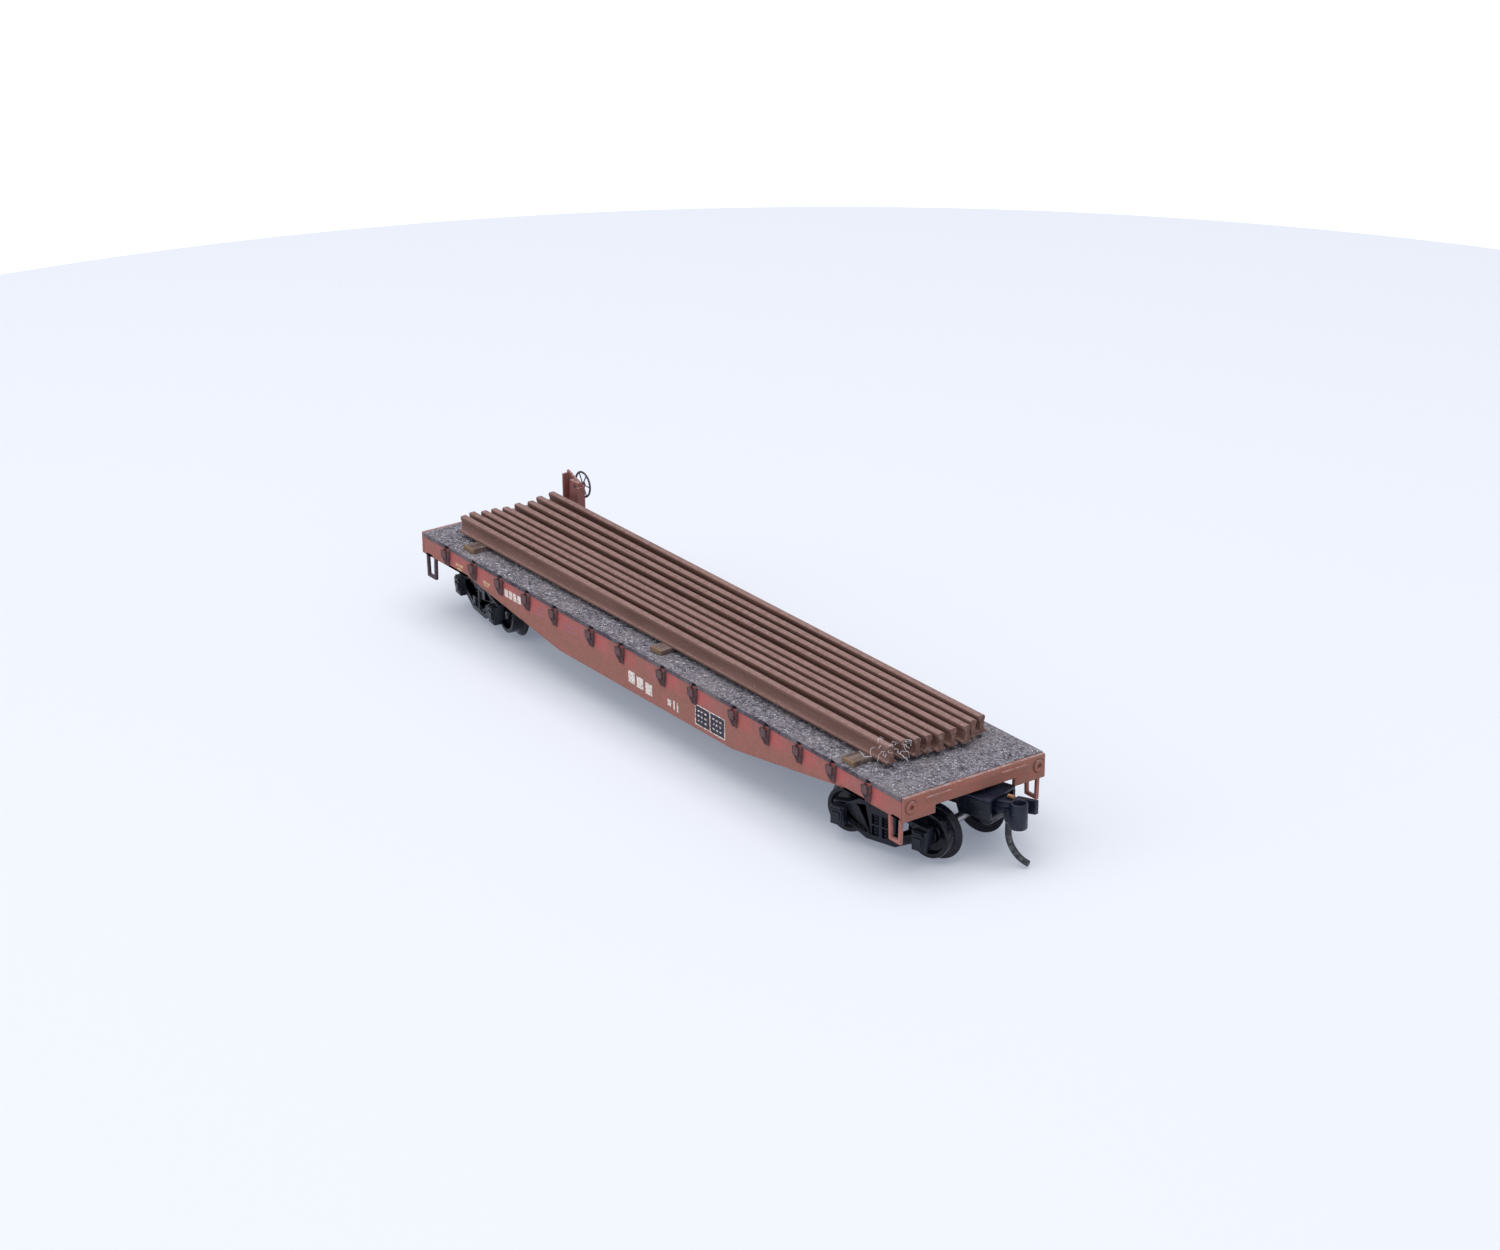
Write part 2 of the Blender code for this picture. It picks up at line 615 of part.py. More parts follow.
def make_rail(index):
    name = f"rail_{index + 1}"
    even = (index - (len(RAIL_SLIDE) - 1) / 2) * RAIL_PITCH
    front = Vector((RAIL_MIDDLE + RAIL_LENGTH / 2, even + RAIL_FRONT_SHIFT[index] * RAIL_PITCH))
    rear = Vector((RAIL_MIDDLE - RAIL_LENGTH / 2, even + RAIL_REAR_SHIFT[index] * RAIL_PITCH))
    middle = (front + rear) / 2
    rail = placed(name, plate(name, [rail_outline()], RAIL_LENGTH, across(0.0)), PARTS)
    base = DECK_HEIGHT + DUNNAGE_THICK + CLEARANCE * 2
    rail.location = (middle.x + RAIL_SLIDE[index] * MM, middle.y, base)
    rail.rotation_euler = (0, 0, math.atan2(front.y - rear.y, RAIL_LENGTH))
    rust(rail)


def make_dunnage(index):
    name = f"dunnage_{index + 1}"
    low = (-DUNNAGE_WIDTH / 2, -DUNNAGE_LENGTH / 2, 0)
    high = (DUNNAGE_WIDTH / 2, DUNNAGE_LENGTH / 2, DUNNAGE_THICK)
    strip = placed(name, boxes(name, [(low, high)]), PARTS)
    strip.location = (DUNNAGE_X[index], DUNNAGE_SHIFT[index] * MM, DECK_HEIGHT + CLEARANCE)
    wood(strip)


# ---------------------------------------------------------------- trucks

def half_mirrored(points):
    return points + [(-x, z) for x, z in reversed(points)]


def sideframe_loops():
    """The cast sideframe from the side: its outline, then the opening each side of the spring nest."""
    axle, top, bottom = WHEEL_BASE / 2, SIDEFRAME_TOP, SIDEFRAME_BOTTOM
    box = JOURNAL_WIDTH / 2
    shoulder = FLANGE_RADIUS + JOURNAL_HEIGHT * 0.62
    knee = FLANGE_RADIUS - JOURNAL_HEIGHT * 0.25
    column = BOLSTER_LENGTH / 2 + 0.35 * MM
    outer = half_mirrored([(column + 0.1 * MM, top), (axle - box - 0.3 * MM, shoulder + 0.3 * MM),
                           (axle + box, shoulder), (axle + box, knee), (axle - box * 0.8, knee),
                           (column + 0.2 * MM, bottom)])
    near, far = column + 0.25 * MM, axle - box - 0.35 * MM
    opening = [(near, top - 0.95 * MM), (far, shoulder - 0.25 * MM), (far, knee + 0.75 * MM),
               (near, bottom + 0.95 * MM)]
    return [outer, opening, [(-x, z) for x, z in opening]]


def nest_windows(side):
    """Four shallow squares that show the coil springs of the spring nest."""
    gap, size = 0.2 * MM, 0.95 * MM
    deep = side * (SIDEFRAME_OUT - SIDEFRAME_THICK / 2)
    out = side * (SIDEFRAME_OUT + SIDEFRAME_THICK / 2)
    found = []
    for x in (-gap - size, gap):
        for z in (SIDEFRAME_BOTTOM + 0.6 * MM, SIDEFRAME_BOTTOM + 1.95 * MM):
            found.append(((x, min(deep, out), z), (x + size, max(deep, out), z + size + gap)))
    return boxes("windows", found)


def journal_boxes(side):
    start, out = side * (SIDEFRAME_IN + SIDEFRAME_THICK / 2), side * (SIDEFRAME_OUT + JOURNAL_PROUD)
    found = []
    for x in (-WHEEL_BASE / 2, WHEEL_BASE / 2):
        low = (x - JOURNAL_WIDTH / 2 + CLEARANCE, min(start, out), FLANGE_RADIUS - JOURNAL_HEIGHT / 2)
        high = (x + JOURNAL_WIDTH / 2 - CLEARANCE, max(start, out), FLANGE_RADIUS + JOURNAL_HEIGHT / 2)
        found.append((low, high))
    return boxes("journals", found)


def axle_bores():
    """Blind bores from the inner face of each sideframe, a little wider than the axle's ends."""
    bm = bmesh.new()
    half = AXLE_LENGTH / 2 + CLEARANCE * 3
    for x in (-WHEEL_BASE / 2, WHEEL_BASE / 2):
        corners = add_cylinder(bm, (0, 0, -half), AXLE_RADIUS + CLEARANCE * 1.5, half * 2, 20)
        lay = Matrix.Translation((x, 0, FLANGE_RADIUS)) @ Matrix.Rotation(math.pi / 2, 4, "X")
        bmesh.ops.transform(bm, verts=corners, matrix=lay)
    return finished_mesh("axle_bores", bm)


def make_truck_frame(name, pivot):
    """Bolster, both sideframes, tongue and coupler pocket, one moulding."""
    across_half = SIDEFRAME_IN + SIDEFRAME_THICK / 3
    bolster = ((-BOLSTER_LENGTH / 2, -across_half, BOLSTER_BOTTOM), (BOLSTER_LENGTH / 2, across_half, BOLSTER_TOP))
    frame = placed(name, boxes(name, [bolster]), PARTS)
    frame.parent = pivot
    for label, side in (("left", 1), ("right", -1)):
        middle = side * (SIDEFRAME_IN + SIDEFRAME_THICK / 2)
        add_to(frame, "sideframe_" + label, plate(label, sideframe_loops(), SIDEFRAME_THICK, upright(middle)))
        add_to(frame, "journals_" + label, journal_boxes(side))
        cut_from(frame, "windows_" + label, nest_windows(side))
    tongue_top = BOLSTER_TOP - CLEARANCE * 2
    tongue = ((0, -TONGUE_WIDTH / 2, ROOM_BOTTOM - POCKET_WALL / 2),
              (POCKET_BACK + POCKET_WALL / 2, TONGUE_WIDTH / 2, tongue_top))
    add_to(frame, "tongue", boxes("tongue", [tongue]))
    half = POCKET_HALF_WIDTH
    pocket = ((POCKET_BACK, -half, ROOM_BOTTOM - POCKET_WALL), (POCKET_FRONT, half, ROOM_TOP))
    add_to(frame, "pocket", boxes("pocket", [pocket]))
    inner = half - POCKET_WALL
    room = ((POCKET_BACK + POCKET_WALL, -inner, ROOM_BOTTOM),
            (POCKET_FRONT + POCKET_WALL, inner, ROOM_TOP + POCKET_WALL))
    add_to(frame, "lip", lip_mesh())
    cut_from(frame, "room", boxes("room", [room]))
    post = cylinder("post", (POST_X, 0, ROOM_BOTTOM - POCKET_WALL / 2), POST_RADIUS,
                    POCKET_ROOM + POCKET_WALL / 2, 16)
    add_to(frame, "post", post)
    plate_height = BOLSTER_TOP - BOLSTER_BOTTOM + CENTRE_PLATE_RISE - POCKET_WALL
    centre = cylinder("centre_plate", (0, 0, BOLSTER_BOTTOM + POCKET_WALL), CENTRE_PLATE_RADIUS, plate_height, 24)
    add_to(frame, "centre_plate", centre)
    hole = cylinder("pin_hole", (0, 0, 0), PIN_RADIUS + PIN_PLAY, DECK_HEIGHT, 20)
    cut_from(frame, "pin_hole", hole)
    cut_from(frame, "axle_bores", axle_bores())
    black(frame)


def lip_mesh():
    """The rounded lower lip under the mouth of the coupler pocket."""
    bm = bmesh.new()
    half = POCKET_HALF_WIDTH * 0.8
    radius = POCKET_WALL * 2
    corners = add_cylinder(bm, (0, 0, -half), radius, half * 2, 16)
    lay = Matrix.Translation((POCKET_FRONT - radius, 0, ROOM_BOTTOM - POCKET_WALL)) @ Matrix.Rotation(
        math.pi / 2, 4, "X")
    bmesh.ops.transform(bm, verts=corners, matrix=lay)
    return finished_mesh("lip", bm)


def make_pocket_lid(name, pivot):
    low = (POCKET_BACK, -POCKET_HALF_WIDTH, ROOM_TOP + CLEARANCE)
    high = (POCKET_FRONT, POCKET_HALF_WIDTH, ROOM_TOP + CLEARANCE + POCKET_WALL * 0.8)
    lid = placed(name, boxes(name, [(low, high)]), PARTS)
    lid.parent = pivot
    black(lid)


def make_bolster_pin(name, x):
    """The pin that hangs the truck: a head under the truck's bolster, and a shank up into the body."""
    bm = bmesh.new()
    head_bottom = BOLSTER_BOTTOM - CLEARANCE - PIN_HEAD_THICK
    add_cylinder(bm, (0, 0, head_bottom), PIN_HEAD, PIN_HEAD_THICK, 20)
    pin = placed(name, finished_mesh(name, bm), PARTS)
    pin.location = (x, 0, 0)
    bpy.context.view_layer.update()
    length = FLOOR_BOTTOM - CLEARANCE - head_bottom - PIN_HEAD_THICK / 2
    add_to(pin, "shank", cylinder("shank", (0, 0, head_bottom + PIN_HEAD_THICK / 2), PIN_RADIUS, length, 20))
    black(pin)


def wheel_profile():
    """From the hub's outer end round the dished face, the tread and the flange to the bore again."""
    bore, rim = AXLE_RADIUS + CLEARANCE, TREAD_RADIUS
    out = WHEEL_WIDTH
    return [(bore, out * 0.96), (AXLE_RADIUS * 1.9, out * 0.96), (AXLE_RADIUS * 2.2, out * 0.66),
            (rim * 0.74, out * 0.66), (rim * 0.82, out), (rim * 0.97, out), (rim, out * 0.93),
            (rim * 1.02, out * 0.32), (FLANGE_RADIUS * 0.96, out * 0.22), (FLANGE_RADIUS, out * 0.13),
            (FLANGE_RADIUS * 0.97, 0), (bore, 0)]


def make_wheelset(label, pivot, x):
    hub = bpy.data.objects.new(f"wheelset_{label}_axis", None)
    PARTS.objects.link(hub)
    hub.parent = pivot
    hub.location = (x, 0, FLANGE_RADIUS)
    point = AXLE_RADIUS * 0.4
    taper = AXLE_RADIUS * 1.2
    half = AXLE_LENGTH / 2
    bm = bmesh.new()
    straight = half - taper
    add_cylinder(bm, (0, 0, -straight), AXLE_RADIUS, straight * 2, 20)
    for face in [face for face in bm.faces if abs(face.normal.z) > 0.9]:
        side = math.copysign(1, face.normal.z)
        moved = bmesh.ops.extrude_discrete_faces(bm, faces=[face])["faces"]
        for corner in moved[0].verts:
            corner.co.x *= point / AXLE_RADIUS
            corner.co.y *= point / AXLE_RADIUS
            corner.co.z += side * taper
    axle = placed(f"axle_{label}", finished_mesh("axle", bm), PARTS)
    axle.parent = hub
    axle.rotation_euler = (math.pi / 2, 0, 0)
    steel(axle)
    for name, side in (("left", 1), ("right", -1)):
        wheel = placed(f"wheel_{label}_{name}", turned("wheel", wheel_profile(), WHEEL_STEPS), PARTS)
        wheel.parent = hub
        wheel.location = (0, side * BACK_TO_BACK / 2, 0)
        wheel.rotation_euler = (-side * math.pi / 2, 0, 0)
        black(wheel)


# ---------------------------------------------------------------- couplers

def arc(centre, radius, start, end, steps):
    """Points on an arc, by angles in degrees."""
    turns = [math.radians(start + (end - start) * index / steps) for index in range(steps + 1)]
    return [(centre[0] + radius * math.cos(turn), centre[1] + radius * math.sin(turn)) for turn in turns]


def slot_loop(half_width):
    """The slot round the post, long enough for the draft travel and the spring ahead of the post."""
    rear, front = POST_X, POST_X + DRAFT_TRAVEL + 1.5 * MM
    back = arc((rear, 0), half_width, 90, 270, 8)
    return back + [(front, -half_width), (front, half_width)]


def shank_loop(front):
    """The shank from above: a round eye behind the post, then two tapering sides to the front."""
    eye = arc((POST_X, 0), SHANK_RADIUS, 90, 270, 8)
    waist = POST_X + DRAFT_TRAVEL + 1.8 * MM
    return eye + [(waist, -SHANK_RADIUS), (front, -SHANK_HALF_WIDTH), (front, SHANK_HALF_WIDTH),
                  (waist, SHANK_RADIUS)]


def shank(name, front, low, high, slot_half):
    thick = high - low
    lift = Matrix.Translation((0, 0, (low + high) / 2))
    return plate(name, [shank_loop(front), slot_loop(slot_half)], thick, lift)


def make_coupler_jaw(name, pivot):
    """The lower half: shank, head with the guard arm, and the boss that holds the trip pin."""
    low, high = ROOM_BOTTOM + CLEARANCE, COUPLER_HEIGHT - CLEARANCE / 2
    slot = POST_RADIUS + CLEARANCE * 6
    jaw = placed(name, shank(name, HEAD_BACK + HEAD_HALF / 3, low, high, slot), PARTS)
    jaw.parent = pivot
    head_front = KNUCKLE_BACK - CLEARANCE * 3
    head = ((HEAD_BACK, -HEAD_HALF, low - HEAD_DROP), (head_front, HEAD_HALF * 1.15, high - CLEARANCE))
    add_to(jaw, "head", boxes("head", [head]))
    root = HEAD_BACK + HEAD_HALF / 3
    guard = [(root, HEAD_HALF * 0.82), (head_front + CLEARANCE, HEAD_HALF * 0.82), (GUARD_TIP, HEAD_HALF * 1.3),
             (GUARD_TIP + CLEARANCE * 2, HEAD_HALF * 1.8), (head_front, HEAD_HALF * 1.5), (root, HEAD_HALF * 1.35)]
    guard_low, guard_high = low - HEAD_DROP / 2, COUPLER_HEIGHT + GUARD_RISE
    lift = Matrix.Translation((0, 0, (guard_low + guard_high) / 2))
    add_to(jaw, "guard", plate("guard", [guard], guard_high - guard_low, lift))
    round_half = (head_front - CHIN_BACK) / 2
    chin = cylinder("chin", (CHIN_BACK + round_half, 0, low - HEAD_DROP * 2.4), round_half,
                    HEAD_DROP * 2.4 + POCKET_WALL / 2, 20)
    add_to(jaw, "chin", chin)
    boss = cylinder("boss", (PIN_X, PIN_Y, low - BOSS_DROP), TRIP_PIN_RADIUS * 1.5, BOSS_DROP + POCKET_WALL / 3, 16)
    add_to(jaw, "boss", boss)
    black(jaw)


def make_knuckle(name, pivot):
    """The upper half: shank and the hooked knuckle with the hollow in its top."""
    low, high = COUPLER_HEIGHT + CLEARANCE / 2, ROOM_TOP - CLEARANCE
    slot = POST_RADIUS + CLEARANCE * 6
    knuckle = placed(name, shank(name, KNUCKLE_BACK + 0.25 * MM, low, high, slot), PARTS)
    knuckle.parent = pivot
    bottom = KNUCKLE_BOTTOM
    half = (KNUCKLE_FRONT - KNUCKLE_BACK) / 2
    middle = (KNUCKLE_BACK + half, -HEAD_HALF)
    hook = arc(middle, half, -110, 90, 10)
    hook += [(KNUCKLE_BACK, half * 0.6 - HEAD_HALF / 2), (KNUCKLE_BACK, -HEAD_HALF - half * 0.6)]
    lift = Matrix.Translation((0, 0, bottom + KNUCKLE_HEIGHT / 2))
    add_to(knuckle, "hook", plate("hook", [hook], KNUCKLE_HEIGHT, lift))
    rim = half / 4
    hollow = cylinder("hollow", (*middle, bottom + KNUCKLE_HEIGHT - half), half - rim, half * 2, 16)
    cut_from(knuckle, "hollow", hollow)
    black(knuckle)


def coil_points(start, end, radius, turns, per_turn):
    """A helix round the line from start to end, both at the same height and y."""
    points = []
    count = turns * per_turn
    for index in range(count + 1):
        angle = 2 * math.pi * index / per_turn
        x = start[0] + (end[0] - start[0]) * index / count
        points.append((x, start[1] + radius * math.cos(angle), start[2] + radius * math.sin(angle)))
    return points


def make_springs(label, pivot):
    wire = 0.07 * MM
    rear = POST_X + POST_RADIUS + DRAFT_TRAVEL + 0.1 * MM
    points = coil_points((rear + wire, 0, COUPLER_HEIGHT), (rear + 0.75 * MM, 0, COUPLER_HEIGHT),
                         POST_RADIUS * 0.4, 3, 9)
    draft = placed(f"draft_spring_{label}", tube("draft_spring", points, wire), PARTS)
    draft.parent = pivot
    bronze(draft)
    radius = 0.2 * MM
    height = ROOM_TOP + radius + wire
    start = CHIN_BACK + radius
    points = coil_points((start, 0, height), (KNUCKLE_BACK - wire * 4, 0, height), radius, 4, 9)
    lock = placed(f"knuckle_spring_{label}", tube("knuckle_spring", points, wire), PARTS)
    lock.parent = pivot
    bronze(lock)


def make_trip_pin(name, pivot):
    """The curved magnetic pin that stands for the air hose."""
    top = ROOM_BOTTOM - BOSS_DROP
    x, y = PIN_X, PIN_Y
    tip = TRIP_PIN_RADIUS + 0.2 * MM
    fall = top - tip
    steps = 8
    points = [(x, y, top), (x, y, top - fall * 0.3)]
    for index in range(1, steps + 1):
        turn = math.radians(80) * index / steps
        points.append((x + fall * 0.7 * (1 - math.cos(turn)), y + 0.02 * MM * index,
                       top - fall * 0.3 - fall * 0.7 * math.sin(turn)))
    pin = placed(name, tube(name, points, TRIP_PIN_RADIUS, 2), PARTS)
    pin.parent = pivot
    steel(pin)


def make_truck(label, x, heading):
    pivot = bpy.data.objects.new(f"truck_{label}_pivot", None)
    PARTS.objects.link(pivot)
    pivot.location = (x, 0, 0)
    pivot.rotation_euler = (0, 0, heading)
    bpy.context.view_layer.update()
    make_truck_frame(f"truck_frame_{label}", pivot)
    make_pocket_lid(f"coupler_lid_{label}", pivot)
    make_bolster_pin(f"bolster_pin_{label}", x)
    make_wheelset(f"{label}_outer", pivot, WHEEL_BASE / 2)
    make_wheelset(f"{label}_inner", pivot, -WHEEL_BASE / 2)
    make_coupler_jaw(f"coupler_jaw_{label}", pivot)
    make_knuckle(f"coupler_knuckle_{label}", pivot)
    make_springs(label, pivot)
    make_trip_pin(f"trip_pin_{label}", pivot)


clear_scene()
PARTS = new_collection("flat_car")
HELPERS = new_collection("flat_car_helpers")
HELPERS.hide_render = True

make_deck()
make_side_sill("side_sill_right", -1)
make_side_sill("side_sill_left", 1)
make_end_sill("end_sill_front", 1)
make_end_sill("end_sill_rear", -1)
make_ballast()
make_underframe()
for end_name, end_side in (("front", 1), ("rear", -1)):
    for hand, hand_side in (("right", -1), ("left", 1)):
        make_step(f"step_{end_name}_{hand}", end_side, hand_side)
make_brake_stand()
make_brake_wheel()
for rail_index in range(len(RAIL_SLIDE)):
    make_rail(rail_index)
for strip_index in range(len(DUNNAGE_X)):
    make_dunnage(strip_index)
make_truck("front", TRUCK_X, FRONT_TURN)
make_truck("rear", -TRUCK_X, math.pi + REAR_TURN)
bpy.context.view_layer.update()
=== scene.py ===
# %% [markdown]
# # A 1:160 flat car with a load of rail
#
# The CAD model gives every piece its size and its motion. This script dresses it: edges are rounded, the
# moulded and rolled shapes get their fine forms, and every surface gets a finish made of nodes. Lengths are
# in metres, so one millimetre is written MM.

# %% Load the car
import json
import math

import bmesh
import bpy
import numpy as np
from mathutils import Matrix, Vector


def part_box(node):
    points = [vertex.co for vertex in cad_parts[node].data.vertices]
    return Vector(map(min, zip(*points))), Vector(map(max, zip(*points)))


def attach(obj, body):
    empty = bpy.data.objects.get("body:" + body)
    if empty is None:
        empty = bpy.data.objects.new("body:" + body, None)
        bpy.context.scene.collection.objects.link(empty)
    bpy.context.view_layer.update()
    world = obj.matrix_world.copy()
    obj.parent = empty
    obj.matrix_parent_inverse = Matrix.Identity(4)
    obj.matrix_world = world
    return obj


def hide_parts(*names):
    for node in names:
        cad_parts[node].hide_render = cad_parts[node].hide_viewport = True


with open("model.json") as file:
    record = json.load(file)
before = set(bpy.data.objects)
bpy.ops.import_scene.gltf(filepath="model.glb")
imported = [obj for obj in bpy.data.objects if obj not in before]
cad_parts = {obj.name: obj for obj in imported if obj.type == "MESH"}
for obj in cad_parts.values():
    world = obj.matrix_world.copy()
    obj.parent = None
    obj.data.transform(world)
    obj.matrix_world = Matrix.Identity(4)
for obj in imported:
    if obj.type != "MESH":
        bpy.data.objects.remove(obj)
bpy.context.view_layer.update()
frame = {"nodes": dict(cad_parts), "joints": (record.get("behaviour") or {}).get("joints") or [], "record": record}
MM = 0.001
ENDS = ("front", "rear")

# %% [markdown]
# ## Camera, table and light
#
# The car stands on a round white table half a metre across, seen from above its front right corner with a
# long lens. The light is a wide softbox overhead and a pale room, so shadows are faint and a little blue.

# %% Camera
CAMERA_PLACE = Vector((0.32039, -0.22469, 0.17463))
CAMERA_YAW, CAMERA_PITCH, CAMERA_ROLL = 54.29, 22.655, -0.507
CAMERA_LENS = 88.07


def camera_axes(yaw, pitch, roll):
    """Rotation of a camera from its heading, its tilt below level and its roll, in degrees."""
    turn, tilt, lean = (math.radians(angle) for angle in (yaw, pitch, roll))
    back = Vector((math.sin(turn) * math.cos(tilt), -math.cos(turn) * math.cos(tilt), math.sin(tilt)))
    right = Vector((math.cos(turn), math.sin(turn), 0))
    up = back.cross(right)
    side = right * math.cos(lean) + up * math.sin(lean)
    top = up * math.cos(lean) - right * math.sin(lean)
    return Matrix((side, top, back)).transposed()


lens = bpy.data.cameras.new("camera")
lens.lens = CAMERA_LENS
lens.sensor_width = 36
lens.clip_start = 0.01
camera = bpy.data.objects.new("camera", lens)
bpy.context.scene.collection.objects.link(camera)
camera.matrix_world = Matrix.Translation(CAMERA_PLACE) @ camera_axes(
    CAMERA_YAW, CAMERA_PITCH, CAMERA_ROLL).to_4x4()
bpy.context.scene.camera = camera
bpy.context.scene.view_settings.view_transform = "Standard"
print("camera", round(CAMERA_PLACE.length, 3), "m from the car")

# %% Table and room
TABLE_CENTRE = Vector((0.038, -0.013, 0))
TABLE_RADIUS = 0.25
TABLE_DROP, BACKDROP_DROP, STAGE_THICK = 0.05 * MM, 30 * MM, 4 * MM
BACKDROP_RADIUS = 6.0
TABLE_GLOW, BACKDROP_GLOW = 0.24, 0.42
GLOW_COLOUR = (0.72, 0.79, 1.0)


def plain_material(name, rgb, roughness):
    made = bpy.data.materials.new(name)
    made.use_nodes = True
    shader = made.node_tree.nodes["Principled BSDF"]
    shader.inputs["Base Color"].default_value = (*rgb, 1)
    shader.inputs["Roughness"].default_value = roughness
    shader.inputs["Specular IOR Level"].default_value = 0.2
    return made


def stage_disc(name, radius, drop, rgb, glow):
    """A flat disc that isn't part of the car. A little glow stands for light from a large white room."""
    bm = bmesh.new()
    place = Matrix.Translation((TABLE_CENTRE.x, TABLE_CENTRE.y, -drop - STAGE_THICK / 2))
    bmesh.ops.create_cone(bm, cap_ends=True, segments=180, radius1=radius, radius2=radius,
                          depth=STAGE_THICK, matrix=place)
    mesh = bpy.data.meshes.new(name)
    bm.to_mesh(mesh)
    bm.free()
    disc = bpy.data.objects.new(name, mesh)
    bpy.context.scene.collection.objects.link(disc)
    finish = plain_material(name + "_white", rgb, 0.9)
    shader = finish.node_tree.nodes["Principled BSDF"]
    shader.inputs["Emission Color"].default_value = (*GLOW_COLOUR, 1)
    shader.inputs["Emission Strength"].default_value = glow
    disc.data.materials.append(finish)


stage_disc("table", TABLE_RADIUS, TABLE_DROP, (0.64, 0.65, 0.665), TABLE_GLOW)
stage_disc("backdrop", BACKDROP_RADIUS, BACKDROP_DROP, (0.93, 0.94, 0.98), BACKDROP_GLOW)
print("table", TABLE_RADIUS * 2, "m across")

# %% Light
ROOM_COLOUR = (0.86, 0.91, 1.0)
ROOM_STRENGTH = 0.55
# Each softbox: its place in metres, its turn in degrees, its side in metres, its power in watts, its colour.
SOFTBOXES = {
    "overhead": ((0.05, -0.05, 0.75), (0, 0, 0), 0.9, 4.5, (1.0, 0.98, 0.96)),
    "window": ((-0.35, -0.75, 0.45), (62, 0, -25), 0.6, 1.6, (0.95, 0.97, 1.0)),
    "fill": ((0.9, -0.1, 0.35), (0, 68, 0), 0.5, 0.8, (0.92, 0.95, 1.0)),
}

room = bpy.data.worlds.new("pale_room")
room.use_nodes = True
air = room.node_tree.nodes["Background"]
air.inputs["Color"].default_value = (*ROOM_COLOUR, 1)
air.inputs["Strength"].default_value = ROOM_STRENGTH
bpy.context.scene.world = room
for name, (place, turn, size, power, rgb) in SOFTBOXES.items():
    light = bpy.data.lights.new(name, "AREA")
    light.size = size
    light.energy = power
    light.color = rgb
    lamp = bpy.data.objects.new(name, light)
    lamp.location = place
    lamp.rotation_euler = [math.radians(angle) for angle in turn]
    bpy.context.scene.collection.objects.link(lamp)
print(len(SOFTBOXES), "softboxes")

# %% [markdown]
# ## A small kit for making materials
#
# A finish is a chain of nodes: a pattern picks between two colours, a second pattern lays dirt over them, and
# a third lifts and lowers the surface. Patterns use object coordinates, which are metres here, so a scale of
# 1000 means that the pattern's cells are about a millimetre wide.

